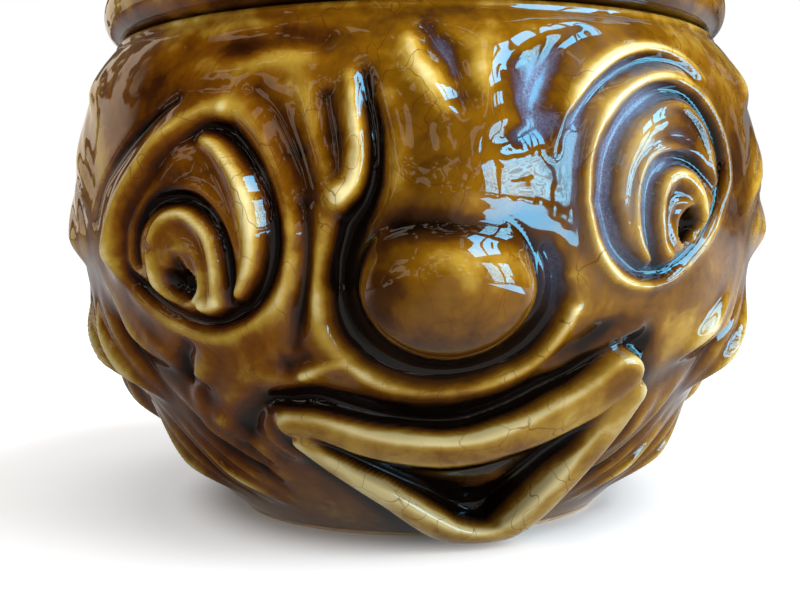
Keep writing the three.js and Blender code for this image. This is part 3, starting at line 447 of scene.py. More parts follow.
class StageLook(bpy.types.PropertyGroup):
    """Camera, light and ground."""
    camera_distance: length("Camera distance", "Distance from the pot's axis to the camera", 0.1995)
    camera_height: length("Camera height", "Height of the camera above the ground", 0.0461)
    camera_bearing: angle("Camera bearing", "Bearing of the camera from the face's front", -3.5)
    camera_pitch: angle("Camera pitch", "How far the camera looks down", 3.74)
    camera_yaw: angle("Camera yaw", "How far the camera looks left of the axis", 0.84)
    camera_roll: angle("Camera roll", "How far the camera is tilted clockwise", -0.7)
    lens: FloatProperty(name="Lens", description="Focal length in mm on a 36 mm sensor", default=52.37,
                        min=10.0)
    window_power: FloatProperty(name="Window power", description="Power of the window light in watts",
                                default=4.4)
    sky_strength: FloatProperty(name="Sky strength", description="Light from all round", default=0.19)


def smooth(values, low, high):
    share = np.clip((np.asarray(values, float) - low) / (high - low), 0, 1)
    return share * share * (3 - 2 * share)


def band(values, rise_start, rise_end, fall_start, fall_end):
    """1 between a smooth rise and a smooth fall, and 0 beyond them."""
    return smooth(values, rise_start, rise_end) * (1 - smooth(values, fall_start, fall_end))


def mix(start, end, share):
    return start + (end - start) * share


def curve(points, count):
    """Points along a cubic Bezier curve."""
    t = np.linspace(0, 1, count + 1)[:, None]
    a, b, c, d = (np.array(point, float) for point in points)
    return a * (1 - t) ** 3 + 3 * b * t * (1 - t) ** 2 + 3 * c * t ** 2 * (1 - t) + d * t ** 3


def millimetres(group):
    """The group's lengths in mm and its other values as they are."""
    values = SimpleNamespace()
    for name, prop in group.bl_rna.properties.items():
        if name not in ("rna_type", "name"):
            value = getattr(group, name)
            setattr(values, name, value / MM if prop.unit == "LENGTH" else value)
    return values


class PotForm:
    """The pot's plain form and the relief on it. Millimetres and degrees."""

    def __init__(self, sizes):
        self.size = sizes
        self.step = sizes.seat_height / STEPS
        base, belly = sizes.base_radius, sizes.belly_radius
        middle, top = sizes.belly_height, sizes.seat_height
        lower = curve(((base, sizes.base_round), (base + belly * BASE_FLARE, middle * BASE_RISE),
                       (belly, middle * LOWER_FULLNESS), (belly, middle)), 240)
        upper = curve(((belly, middle), (belly, middle + SHOULDER_RISE),
                       (belly - SHOULDER_INSET, top - SHOULDER_DROP),
                       (sizes.shoulder_radius, top - sizes.seat_round)), 160)
        outline = np.vstack((lower, upper[1:]))
        self.radii, self.heights = outline[:, 0], outline[:, 1]
        self.lengths = np.append(0, np.cumsum(np.hypot(np.diff(self.radii), np.diff(self.heights))))
        lines = (*LEFT_EYE, *RIGHT_EYE, *BROW_AND_BRIDGE, *CHEEKS, *MOUTH_OPENING)
        self.lines = [self.laid(item) for item in lines]
        self.lips = [self.laid(item) for item in LIPS]

    def on_form(self, bearing, radius, height):
        turn = np.radians(bearing)
        return np.stack(np.broadcast_arrays(radius * np.sin(turn), -radius * np.cos(turn), height), axis=-1)

    def laid(self, item):
        """A line's places as a smooth path over the plain form."""
        places = item["places"]
        heights = places[:, 1] * self.step
        through = self.on_form(places[:, 0], np.interp(heights, self.heights, self.radii), heights)
        return {**item, "path": smooth_path(through, len(places) * 6)}

    def near(self, item, points):
        """For the points near a line: which they are, how many half-widths off, and its lift there."""
        path = item["path"]
        reach = 3 * max(item["width"])
        inside = np.all((points > path.min(0) - reach) & (points < path.max(0) + reach), axis=1)
        which = np.nonzero(inside)[0]
        chosen = points[which]
        best = np.full(len(which), np.inf)
        share = np.zeros(len(which))
        for i in range(len(path) - 1):
            start, run = path[i], path[i + 1] - path[i]
            t = np.clip((chosen - start) @ run / (run @ run), 0, 1)
            gap = ((chosen - start - t[:, None] * run) ** 2).sum(1)
            closer = gap < best
            best[closer] = gap[closer]
            share[closer] = (i + t[closer]) / (len(path) - 1)
        return which, np.sqrt(best) / along_three(item["width"], share), along_three(item["lift"], share)

    def from_patch(self, turn, height, bearing, step, half_width, half_height=1):
        """How far each place lies across and up from a patch's middle, in half-widths and half-heights."""
        across = np.radians(turn - bearing) * self.size.belly_radius / half_width
        return across, (height - step * self.step) / half_height

    def patches(self, turn, height, rows):
        """The sum at each place of soft round patches, each with its amount at its middle."""
        total = np.zeros_like(turn)
        for *patch, amount in rows:
            across, up = self.from_patch(turn, height, *patch)
            total += amount * np.exp(-across ** 2 - up ** 2)
        return total

    def hair(self, turn, steps):
        """Slanting locks with rounded tips round the sides and back, mirrored about the face."""
        around = np.radians(np.abs(turn))
        bend = 0.9 * np.sin(3 * around + 0.1 * steps) + 0.6 * np.sin(0.17 * steps - 6 * around)
        phase = self.size.hair_locks * around - self.size.hair_slant * steps + bend
        across = phase / (2 * math.pi)
        lock = np.floor(across + 0.5)
        beside = across - lock
        along = steps / LOCK_LENGTH + LOCK_STAGGER * lock + 0.2 * np.sin(2.4 * lock) - 0.6 * beside ** 2
        up = along - np.floor(along)
        tip = band(up, 0, 0.3, 0.34, 1)
        furrows = 0.2 * np.cos(6 * math.pi * beside + 1.4 * np.sin(0.3 * steps))
        strands = 1 + furrows * smooth(-np.abs(turn), -140, -95)
        calm = 1 - 0.65 * smooth(steps, 30, 50)
        return self.size.hair_lift * calm * (np.cos(math.pi * beside) * tip * strands - 0.3)

    def hair_cover(self, turn, steps):
        """How fully the hair shows, from 0 on the face, the foot and the shoulder to 1 round the back."""
        high = np.where(turn > 0, HAIR_EDGE_RIGHT[0], HAIR_EDGE_LEFT[0])
        low = np.where(turn > 0, HAIR_EDGE_RIGHT[1], HAIR_EDGE_LEFT[1])
        edge = low + (high - low) * smooth(steps, 16, 44)
        return smooth(np.abs(turn) - edge, -3, 8) * band(steps, 3, 10, 65, 72)

    def nose_room(self, turn, height):
        """How far inside the nose's outline each place is, from 0 to 1 at its middle, and how far up it."""
        across, up = self.from_patch(turn, height, NOSE["bearing"], NOSE["height"], NOSE["half_width"])
        up = np.where(up > 0, up / NOSE["rise_above"], up / NOSE["drop_below"])
        return np.maximum(0, 1 - across ** 2 - up ** 2), up

    def lip_cover(self, turn, radius, height):
        """Where the lips lie and where their gutters run, each from 0 to 1."""
        points = self.on_form(turn, radius, height).reshape(-1, 3)
        share, gutter = np.zeros(len(points)), np.zeros(len(points))
        for item in self.lips:
            which, across, _ = self.near(item, points)
            share[which] = np.maximum(share[which], 1 - smooth(across, 0.6, 1.15))
            gutter[which] = np.maximum(gutter[which], band(across, 0.9, 1.3, 1.7, 2.7))
        return share.reshape(turn.shape), (gutter * (1 - share)).reshape(turn.shape)

    def thickness_and_shade(self, turn, height):
        """How much thicker the glaze is taken to be at each place: painted shade round the nose's lower side,
        and single patches of thicker glaze and of painted shade.
        """
        room, up = self.nose_room(turn, height)
        under = band(room, 0, 0.1, 0.25, 0.9) * (1 - smooth(up, -0.1, 0.4))
        return NOSE_UNDERSIDE_SHADE * under + self.patches(turn, height, GLAZE_AND_SHADE_PATCHES)

    def painted_sheen_share(self, turn, height):
        """How much painted reflected sheen lies over the glaze at each place, from 0 to 1."""
        share = np.zeros_like(turn)
        for patch in SHEEN_PATCHES:
            across, up = self.from_patch(turn, height, *patch)
            share = np.maximum(share, np.exp(-across ** 4 - up ** 4))
        return share

    def relief(self, turn, radius, height):
        """How far the face and hair stand out from the plain form at each place, in mm."""
        steps = height / self.step
        points = self.on_form(turn, radius, height)
        lift = self.hair(turn, steps) * self.hair_cover(turn, steps) + self.patches(turn, height, SWELLS)
        ridges, grooves = np.zeros_like(lift), np.zeros_like(lift)
        for item in self.lines:
            which, across, rise = self.near(item, points)
            chosen = ridges if item["lift"][1] > 0 else grooves
            chosen[which] += np.abs(rise * np.exp(-across ** 2)) ** JOINING
        lift += ridges ** (1 / JOINING) - grooves ** (1 / JOINING)
        for item in self.lips:
            which, across, rise = self.near(item, points)
            lip = np.maximum(lift[which], rise * np.sqrt(np.maximum(0, 1 - 0.5 * across ** 2)))
            lift[which] = mix(lift[which], lip, 1 - smooth(across, 0.6, 1.4))
        for *patch, depth in PUPILS:
            across, up = self.from_patch(turn, height, *patch)
            lift = mix(lift, np.minimum(lift, depth), 1 - smooth(np.hypot(across, up), 0.45, 1.0))
        room, up = self.nose_room(turn, height)
        ball = NOSE["lift"] * room ** mix(0.5, 1.15, smooth(up, -0.2, 0.9))
        lift = mix(lift, rounded_max(lift, ball, NOSE_ROUNDING), smooth(room, 0, 0.15))
        return np.maximum(lift, DEEPEST_CUT) * band(steps, 0, 1, STEPS - 4, STEPS - 2)

    def glaze(self, lift, turn, radius, height, bearings, lengths):
        """The glaze over the relief: below 0 where it thins on ridges, above 0 where it pools in hollows.
        Painted shade is added as thicker glaze where the relief faces down and partly in broad hollows, and
        the glaze is paler towards the seat.
        """
        around = np.radians(np.diff(np.append(bearings, bearings[0] + 360)))[None, :] * radius
        along = np.full_like(radius, lengths[1] - lengths[0])
        near = softened(lift, around, along, RIDGE_BLUR)
        far = softened(near, around, along, HOLLOW_BLUR)
        underside_slope = np.gradient(softened(lift, around, along, SLOPE_BLUR), lengths, axis=0)
        swing = np.sqrt(softened((near - lift) ** 2, around, along, ROUGH_BLUR))
        # Broad hollows darken partly as pooled glaze and partly as painted shade.
        pool = (near - lift) / (0.8 + 0.7 * swing) + np.clip((far - near) / 2.2, -0.15, 0.7)
        # Painted shade: where the relief faces down the glaze is taken as thicker and darker, and slightly
        # thinner where it faces up.
        pool += 0.3 * np.clip(underside_slope, -0.3, 2) - 0.34 * smooth(height / self.step, 56, 70)
        thinned = -CREST_SHARE * np.abs(pool) ** CREST_SHARPNESS
        pool = np.where(pool < 0, thinned, pool * HOLLOW_SHARE)
        lips, gutter = self.lip_cover(turn, radius, height)
        pool = mix(pool, np.minimum(pool, LIP_THINNESS), lips) + LIP_GUTTER * gutter
        return np.clip(pool + self.thickness_and_shade(turn, height), -GLAZE_LIMIT, GLAZE_LIMIT)


def rounded_max(first, second, rounding):
    return (first + second + np.sqrt((first - second) ** 2 + rounding ** 2) - rounding * 0.2) / 2


def along_three(values, share):
    """A value that eases from the first through the second to the third along a line."""
    first = mix(values[0], values[1], smooth(share, 0, 0.5))
    return np.where(share < 0.5, first, mix(values[1], values[2], smooth(share, 0.5, 1)))


def smooth_path(through, count):
    """A centripetal Catmull-Rom path through the points."""
    spread = np.vstack((2 * through[0] - through[1], through, 2 * through[-1] - through[-2]))
    path = []
    for place in np.linspace(0, len(through) - 1, count + 1):
        i = min(int(place), len(through) - 2)
        t = place - i
        a, b, c, d = spread[i:i + 4]
        first, middle, last = (max(1e-4, np.sqrt(np.linalg.norm(gap))) for gap in (b - a, c - b, d - c))
        leave = ((b - a) / first - (c - a) / (first + middle) + (c - b) / middle) * middle
        arrive = ((c - b) / middle - (d - b) / (middle + last) + (d - c) / last) * middle
        path.append((2 * t ** 3 - 3 * t ** 2 + 1) * b + (t ** 3 - 2 * t ** 2 + t) * leave
                    + (3 * t ** 2 - 2 * t ** 3) * c + (t ** 3 - t ** 2) * arrive)
    return np.array(path)


def softened(values, across, along, spread):
    """A grid's values blurred over a distance: across wraps round, and both gaps are in mm."""
    rate = 0.2 * min(across.min(), along.min()) ** 2
    for _ in range(int(spread ** 2 / (2 * rate))):
        side = (np.roll(values, -1, 1) - 2 * values + np.roll(values, 1, 1)) / across ** 2
        padded = np.pad(values, ((1, 1), (0, 0)), mode="edge")
        up = (padded[2:] - 2 * values + padded[:-2]) / along ** 2
        values = values + rate * (side + up)
    return values


def held_inside(points, box, easing=0.3):
    """Points eased back where they would pass the sides of a measured box, which is given in metres."""
    for axis in (0, 1):
        for side, sign in ((0, -1), (1, 1)):
            room = sign * (box[side][axis] / MM - points[..., axis])
            eased = (room + np.sqrt(room ** 2 + easing ** 2)) / 2
            points[..., axis] += sign * (room - eased)
    return points


def mesh_of_rings(name, rings, first_middle, last_middle):
    """A closed mesh from rings of points, with one point inside the first ring and one inside the last."""
    across = len(rings[0])
    total = len(rings) * across
    points = np.vstack((*rings, first_middle, last_middle)) * MM
    i = np.arange(across)
    after = (i + 1) % across
    ring = np.arange(0, total - across, across)[:, None]
    quads = np.stack((ring + i, ring + after, ring + across + after, ring + across + i), axis=-1)
    last_ring = total - across
    first_fan = np.stack((np.full_like(i, total), after, i), axis=1)
    last_fan = np.stack((np.full_like(i, total + 1), last_ring + i, last_ring + after), axis=1)
    faces = quads.reshape(-1, 4).tolist() + first_fan.tolist() + last_fan.tolist()
    mesh = bpy.data.meshes.new(name)
    mesh.from_pydata(points.tolist(), [], faces)
    mesh.validate()
    smooth_faces(mesh)
    return mesh


def smooth_faces(mesh):
    mesh.polygons.foreach_set("use_smooth", np.ones(len(mesh.polygons), bool))


def give_values(mesh, name, values):
    """Stores a number for each point of the mesh, under a name that the glaze reads."""
    mesh.attributes.new(name, "FLOAT", "POINT").data.foreach_set("value", values.astype(np.float32))


def add_object(name, data):
    item = bpy.data.objects.new(name, data)
    bpy.context.scene.collection.objects.link(item)
    return item


def flat_card(name, left, right, bottom, top):
    """A mesh of one flat rectangle at height 0."""
    mesh = bpy.data.meshes.new(name)
    corners = [(left, bottom, 0), (right, bottom, 0), (right, top, 0), (left, top, 0)]
    mesh.from_pydata(corners, [], [(0, 1, 2, 3)])
    return mesh


class Nodes:
    """A short way to add and join the nodes of a material or a geometry tree."""

    def __init__(self, tree):
        self.tree = tree

    def add(self, kind, settings=None, **inputs):
        """A node of a kind, named without ShaderNode or in full, with its settings and inputs."""
        node = self.tree.nodes.new(kind if "Node" in kind else "ShaderNode" + kind)
        for name, value in (settings or {}).items():
            setattr(node, name, value)
        for name, value in inputs.items():
            self.put(node.inputs[name.replace("_", " ")], value)
        return node

    def put(self, socket, value):
        if isinstance(value, bpy.types.NodeSocket):
            self.tree.links.new(value, socket)
        else:
            socket.default_value = value

    def math(self, operation, first, second=0.0, clamp=False):
        node = self.add("Math", {"operation": operation, "use_clamp": clamp})
        self.put(node.inputs[0], first)
        self.put(node.inputs[1], second)
        return node.outputs[0]

    def sum(self, first, *others):
        for value in others:
            first = self.math("ADD", first, value)
        return first

    def product(self, first, *others):
        for value in others:
            first = self.math("MULTIPLY", first, value)
        return first

    def centred(self, noise, amount):
        """A noise's swing about its middle, times an amount."""
        return self.product(self.math("SUBTRACT", noise, 0.5), amount)

    def vector(self, operation, *values):
        """The result of a vector operation: a number for a length and otherwise a vector."""
        node = self.add("VectorMath", {"operation": operation})
        for socket, value in zip(node.inputs, values):
            self.put(socket, value)
        return node.outputs["Value" if operation == "LENGTH" else "Vector"]

    def span(self, value, low, high, start=0.0, end=1.0):
        """Eases from start to end as the value goes from low to high, and stays there beyond them."""
        node = self.add("MapRange", {"interpolation_type": "SMOOTHSTEP"}, Value=value, From_Min=low,
                        From_Max=high, To_Min=start, To_Max=end)
        return node.outputs["Result"]

    def blend(self, share, first, second, kind="MIX"):
        node = self.add("Mix", {"data_type": "RGBA", "blend_type": kind})
        self.put(node.inputs[0], share)
        self.put(node.inputs[6], first)
        self.put(node.inputs[7], second)
        return node.outputs[2]

    def noise(self, vector, scale, detail=3.0, roughness=0.5, distortion=0.0):
        node = self.add("TexNoise", Vector=vector, Scale=scale, Detail=detail, Roughness=roughness,
                        Distortion=distortion)
        return node.outputs["Fac"]

    def coordinates(self, kind):
        """A texture coordinate, and its three parts by name."""
        place = self.add("TexCoord").outputs[kind]
        return place, self.add("SeparateXYZ", Vector=place).outputs

    def attribute(self, name):
        return self.add("Attribute", {"attribute_name": name}).outputs["Fac"]

    def finish(self, kind, result):
        """Adds the output node of a material or a world and joins the result to it."""
        self.put(self.add(kind).inputs["Surface"], result)


def empty_material(name):
    """A material without nodes, and the short way to add them."""
    material = bpy.data.materials.new(name)
    material.use_nodes = True
    material.node_tree.nodes.clear()
    return material, Nodes(material.node_tree)


def rgba(value):
    return (*value, 1.0)


def glaze_material(name, look, craze, bare_foot=False):
    """Transparent treacle glaze over pale clay: thin and straw-coloured on ridges, dark where it pools, with
    painted shade and painted reflected sheen over it.
    """
    material, n = empty_material(name)
    place, axes = n.coordinates("Object")
    pool, bare, painted_sheen = (n.attribute(kind) for kind in ("pool", "bare", "painted_sheen"))

    broad = n.noise(place, 55.0, 4.0, 0.55, 0.6)
    fine = n.noise(place, 420.0, 3.0, 0.6)
    grain = n.noise(place, 3200.0, 2.0, 0.5)
    patchy = n.noise(place, 160.0, 3.0, 0.6, 0.8)
    uneven = n.sum(n.centred(broad, 1.7), n.centred(patchy, 0.8), n.centred(fine, 0.3))
    calm = n.span(n.math("ABSOLUTE", pool), 0.3, 1.0, 1.0, 0.35)
    depth = n.sum(pool, n.product(uneven, calm))
    ramp = n.add("ValToRGB", Fac=n.product(n.sum(depth, 1.0), 0.5))
    thinnest, thickest = ramp.color_ramp.elements
    thinnest.position = 0.05
    thinnest.color = rgba(look.crest)
    thickest.position = 0.90
    thickest.color = rgba(look.pool)
    for at, shade in ((0.23, look.ridge), (0.44, look.honey), (0.66, look.treacle)):
        ramp.color_ramp.elements.new(at).color = rgba(shade)

    # Painted shade: towards the foot the glaze is darkened towards umber.
    low = n.span(n.sum(axes["Z"], n.centred(broad, 0.03)), 0.05, 0.015)
    painted_low_shade = n.product(low, n.span(depth, 1.15, 0.45), 0.45)
    low_shaded = n.blend(painted_low_shade, ramp.outputs["Color"], rgba(look.umber_and_shade))
    # Painted shade: on the pot's left, away from the window, thin and middling glaze is darkened and
    # reddened.
    left_shade = n.product(n.span(axes["X"], 0.0, -0.03), n.span(depth, -0.45, 0.05))
    left_shaded = n.blend(left_shade, low_shaded, (1.0, 0.76, 0.85, 1), "MULTIPLY")
    # Painted reflected sheen: violet in deep glaze, and a pale veil on the right of the face that stands for
    # the window's reflection.
    deep_sheen = n.product(n.span(depth, 0.2, 0.8), n.span(grain, 0.3, 0.7, 0.55, 1.0), painted_sheen)
    thin_sheen = n.product(painted_sheen, n.span(axes["X"], 0.014, 0.024), n.span(patchy, 0.35, 0.65, 0.05, 0.25))
    pale_sheened = n.blend(thin_sheen, left_shaded, rgba(look.pale_sheen))
    sheened = n.blend(n.product(deep_sheen, 0.7), pale_sheened, rgba(look.violet_sheen))

    flattened = n.vector("MULTIPLY", bent(n, place, 120.0, 0.011), (1.0, 1.0, 0.5))
    cells = n.add("TexVoronoi", {"feature": "DISTANCE_TO_EDGE"}, Scale=190.0, Randomness=1.0,
                  Vector=flattened)
    lines = n.span(cells.outputs["Distance"], 0.016, 0.002)
    shown = n.span(n.noise(place, 60.0), 0.43, 0.53)
    cracked = n.product(lines, shown, n.span(depth, 0.5, 0.15), craze)
    crazed = n.blend(cracked, sheened, rgba(look.crack))
    clay = n.blend(n.span(fine, 0.3, 0.7), rgba(look.bisque), rgba(look.umber_and_shade))
    base = n.blend(bare, crazed, n.blend(0.2, rgba(look.bisque), clay))

    ripple = n.add("Bump", Strength=0.28, Distance=0.0007, Height=n.noise(place, 130.0, 2.0, 0.5))
    ripple = ripple.outputs["Normal"]
    pitted = n.add("Bump", Strength=0.12, Distance=0.00012, Height=fine, Normal=ripple)
    shader = n.add("BsdfPrincipled", Base_Color=base, Normal=pitted.outputs["Normal"], Roughness=0.45,
                   IOR=1.5, Specular_IOR_Level=0.0, Coat_Weight=1.0, Coat_Roughness=0.03, Coat_IOR=1.52,
                   Coat_Normal=ripple)
    if bare_foot:
        n.put(shader.inputs["Coat Weight"], n.math("SUBTRACT", 1.0, bare))
        n.put(shader.inputs["Coat Roughness"], n.sum(0.03, n.product(deep_sheen, 0.3)))
    n.finish("OutputMaterial", shader.outputs["BSDF"])
    return material


def bent(n, place, scale, amount):
    """Coordinates pushed about by noise, so that a pattern's lines wander."""
    noise = n.add("TexNoise", Vector=place, Scale=scale, Detail=2.0)
    centred = n.vector("SUBTRACT", noise.outputs["Color"], (0.5, 0.5, 0.5))
    return n.vector("MULTIPLY_ADD", centred, (amount, amount, amount), place)


def column_bearings():
    """The bearing of each column of the pot's surface, once round."""
    starts = [start for start, _ in COLUMN_SPANS]
    bearings = []
    for (start, count), end in zip(COLUMN_SPANS, (*starts[1:], starts[0] + 360)):
        bearings.extend(start + (end - start) * j / count for j in range(count))
    return np.array(bearings)


def pot_mesh(sizes):
    """The pot's closed surface: foot, relief, seat and the plain hollow inside, with its glaze's values."""
    form = PotForm(sizes)
    bearings = column_bearings()
    turns = np.where(bearings > 180, bearings - 360, bearings)
    lengths = np.linspace(0, form.lengths[-1], SURFACE_ROWS + 1)
    grid_turn, grid_radius = np.meshgrid(turns, np.interp(lengths, form.lengths, form.radii))
    grid_height = np.meshgrid(turns, np.interp(lengths, form.lengths, form.heights))[1]
    lift = form.relief(grid_turn.ravel(), grid_radius.ravel(), grid_height.ravel()).reshape(grid_turn.shape)
    surface = held_inside(form.on_form(grid_turn, grid_radius + lift, grid_height), POT_BOX)
    pool = form.glaze(lift, grid_turn, grid_radius, grid_height, bearings, lengths)

    def ring(radius, height):
        return form.on_form(bearings, radius, height)

    base, base_round = sizes.base_radius, sizes.base_round
    foot = [ring(base - base_round * (1 - math.sin(bend)) - FOOT_INSET, base_round * (1 - math.cos(bend)))
            for bend in (0.0, math.pi / 6, math.pi / 3)]
    top, seat_round = sizes.seat_height, sizes.seat_round
    mouth, mouth_round = sizes.mouth_radius, sizes.seat_round * MOUTH_ROUNDING
    seat = [ring(sizes.shoulder_radius - seat_round * (1 - math.cos(bend)),
                 top - seat_round * (1 - math.sin(bend)))
            for bend in (math.pi / 8, math.pi / 4, math.pi * 3 / 8, math.pi / 2)]
    seat += [ring(mouth + mouth_round * (1 - math.sin(bend)), top - mouth_round * (1 - math.cos(bend)))
             for bend in (0.0, math.pi / 4, math.pi / 2)]
    inside, middle = sizes.belly_radius - sizes.wall, sizes.belly_height
    throat = top - THROAT_DEPTH
    floor_radius, floor = base - sizes.wall, sizes.floor
    upper = curve(((mouth, throat), (inside - 2, throat - 5), (inside, middle + 10), (inside, middle)),
                  HOLLOW_ROWS // 2)
    lower = curve(((inside, middle), (inside, middle * 0.6), (base + sizes.belly_radius * 0.2, floor + 5),
                   (floor_radius, floor)), HOLLOW_ROWS // 2)
    hollow = [ring(radius, height) for radius, height in np.vstack((upper, lower[1:]))]
    rings = [ring(base * 0.5, 0.0), *foot, *surface, *seat, *hollow, ring(floor_radius / 2, floor)]
    mesh = mesh_of_rings("pot_body", rings, (0, 0, 0), (0, 0, floor))

    # After the rings, the mesh has two single points: the middle of the foot and that of the floor inside.
    relief_start = (1 + len(foot)) * len(bearings)
    relief_end = relief_start + pool.size
    seat_end = relief_end + len(seat) * len(bearings)
    glaze, painted_sheen, bare = np.zeros((3, len(mesh.vertices)))
    glaze[relief_start:relief_end] = pool.ravel()
    glaze[relief_end:seat_end] = SEAT_GLAZE
    glaze[seat_end:] = INSIDE_GLAZE
    painted_sheen[relief_start:relief_end] = form.painted_sheen_share(grid_turn, grid_height).ravel()
    bare[:relief_start] = 1.0
    bare[-2] = 1.0
    give_values(mesh, "pool", glaze)
    give_values(mesh, "painted_sheen", painted_sheen)
    give_values(mesh, "bare", bare)
    return mesh


def lid_profile(pot, lid):
    """The lid's outline from the middle of its underside, round collar and rim, to the top of the knob."""
    rim_floor = pot.seat_height + lid.seat_gap
    rim_top = rim_floor + lid.rim_thickness
    collar = pot.mouth_radius - lid.collar_clearance
    inside = collar - lid.collar_wall
    floor = rim_floor - lid.collar_depth
    dome_top = rim_top + lid.dome_height
    knob_top = dome_top + lid.knob_height
    knob_middle = dome_top + lid.knob_height * 0.55
    rim, knob, neck = lid.rim_radius, lid.knob_radius, lid.knob_neck
    foot = rim - DOME_INSET
    under = dome_top - lid.lid_wall
    pieces = (
        [(0, under)],
        curve(((4, under), (24, under), (inside - 3, rim_top + 8), (inside, rim_floor)), 22),
        [(inside, floor + 1), (inside + 0.25, floor + 0.3), (inside + 0.8, floor), (collar - 0.8, floor),
         (collar - 0.25, floor + 0.3), (collar, floor + 1), (collar, rim_floor)],
        curve(((rim - 3, rim_floor), (rim + 1, rim_floor), (rim + 1, rim_top), (rim - 3.4, rim_top)), 22),
        curve(((foot, rim_top + 0.4), (foot - 8, rim_top + 15), (neck + 17, dome_top), (neck, dome_top + 1)),
              30),
        curve(((neck, dome_top + 1.6), (neck + 0.2, dome_top + 3), (knob, dome_top + 3.5),
               (knob, knob_middle)), 12),
        curve(((knob, knob_middle), (knob, knob_top - 1.5), (knob * 0.6, knob_top), (0, knob_top)), 14)[1:],
    )
    return np.vstack([np.array(piece, float) for piece in pieces])


def revolve_tree():
    """Geometry nodes that turn a profile about the axis and give the surface a slight unevenness."""
    tree = bpy.data.node_groups.new("revolve_profile", "GeometryNodeTree")
    for name, kind in (("Profile", "Geometry"), ("Segments", "Int"), ("Profile Points", "Int"),
                       ("Unevenness", "Float"), ("Unevenness Size", "Float"), ("Seed", "Float"),
                       ("Glaze", "Material")):
        tree.interface.new_socket(name, in_out="INPUT", socket_type="NodeSocket" + kind)
    tree.interface.new_socket("Lid", in_out="OUTPUT", socket_type="NodeSocketGeometry")
    n = Nodes(tree)
    given = n.add("NodeGroupInput").outputs
    points, segments = given["Profile Points"], given["Segments"]
    grid = n.add("GeometryNodeMeshGrid", Vertices_X=n.sum(segments, 1.0), Vertices_Y=points)
    index = n.add("GeometryNodeInputIndex").outputs[0]
    column = n.math("FLOOR", n.math("DIVIDE", index, points))
    row = n.math("MODULO", index, points)
    position = n.add("GeometryNodeInputPosition").outputs[0]
    sample = n.add("GeometryNodeSampleIndex", {"data_type": "FLOAT_VECTOR", "domain": "POINT"},
                   Geometry=given["Profile"], Index=row, Value=position)
    profile = n.add("SeparateXYZ", Vector=sample.outputs["Value"]).outputs
    bearing = n.product(n.math("DIVIDE", column, segments), math.tau)
    across = n.product(profile["X"], n.math("COSINE", bearing))
    depth = n.product(profile["X"], n.math("SINE", bearing))
    turned = n.add("CombineXYZ", X=across, Y=depth, Z=profile["Z"]).outputs[0]
    placed = n.add("GeometryNodeSetPosition", Geometry=grid.outputs["Mesh"], Position=turned)
    merged = n.add("GeometryNodeMergeByDistance", Geometry=placed.outputs[0], Distance=0.00001)
    noise = n.add("TexNoise", {"noise_dimensions": "4D"}, Vector=position, Detail=1.0,
                  Scale=n.math("DIVIDE", 1.0, given["Unevenness Size"]), W=given["Seed"])
    shift = n.centred(noise.outputs["Fac"], given["Unevenness"])
    push = n.add("VectorMath", {"operation": "SCALE"}, Scale=shift)
    n.put(push.inputs[0], n.add("GeometryNodeInputNormal").outputs[0])
    uneven = n.add("GeometryNodeSetPosition", Geometry=merged.outputs[0], Offset=push.outputs[0])
    real = n.add("GeometryNodeRealizeInstances", Geometry=uneven.outputs[0])
    glazed = n.add("GeometryNodeSetMaterial", Geometry=real.outputs[0], Material=given["Glaze"])
    n.put(n.add("NodeGroupOutput").inputs[0], glazed.outputs[0])
    return tree


def set_inputs(modifier, **values):
    """Gives a geometry nodes modifier its inputs, by each socket's identifier."""
    for item in modifier.node_group.interface.items_tree:
        key = item.name.replace(" ", "_")
        if key in values:
            modifier[item.identifier] = values[key]


class BuildPot(bpy.types.Operator):
    """Make the pot's body with its relief and its glaze"""
    bl_idname = "chutney_pot.pot"
    bl_label = "Pot"

    def execute(self, context):
        mesh = pot_mesh(millimetres(context.scene.pot_sizes))
        glaze = glaze_material("pot_treacle_glaze", context.scene.pot_glaze, POT_CRAZING, bare_foot=True)
        mesh.materials.append(glaze)
        pot = add_object("pot_body", mesh)
        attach(pot, "pot")
        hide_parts("pot")
        return {"FINISHED"}


class BuildLid(bpy.types.Operator):
    """Make the lid by turning its outline about the axis"""
    bl_idname = "chutney_pot.lid"
    bl_label = "Lid"

    def execute(self, context):
        scene = context.scene
        outline = lid_profile(millimetres(scene.pot_sizes), millimetres(scene.lid_sizes))
        flat = np.column_stack((outline[:, 0], np.zeros(len(outline)), outline[:, 1])) * MM
        mesh = bpy.data.meshes.new("lid_outline")
        mesh.from_pydata(flat.tolist(), [(i, i + 1) for i in range(len(flat) - 1)], [])
        piece = add_object("lid_piece", mesh)
        modifier = piece.modifiers.new("revolve", "NODES")
        modifier.node_group = revolve_tree()
        set_inputs(modifier, Segments=scene.lid_sizes.segments, Profile_Points=len(flat),
                   Unevenness=scene.lid_sizes.unevenness, Unevenness_Size=UNEVENNESS_SIZE, Seed=4.0,
                   Glaze=glaze_material("lid_treacle_glaze", scene.pot_glaze, LID_CRAZING))
        shaped = bpy.data.meshes.new_from_object(piece.evaluated_get(context.evaluated_depsgraph_get()))
        piece.modifiers.clear()
        piece.data = shaped
        shaped.name = "lid_piece"
        smooth_faces(shaped)
        give_lid_pool(shaped, outline)
        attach(piece, "lid")
        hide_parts("lid")
        return {"FINISHED"}


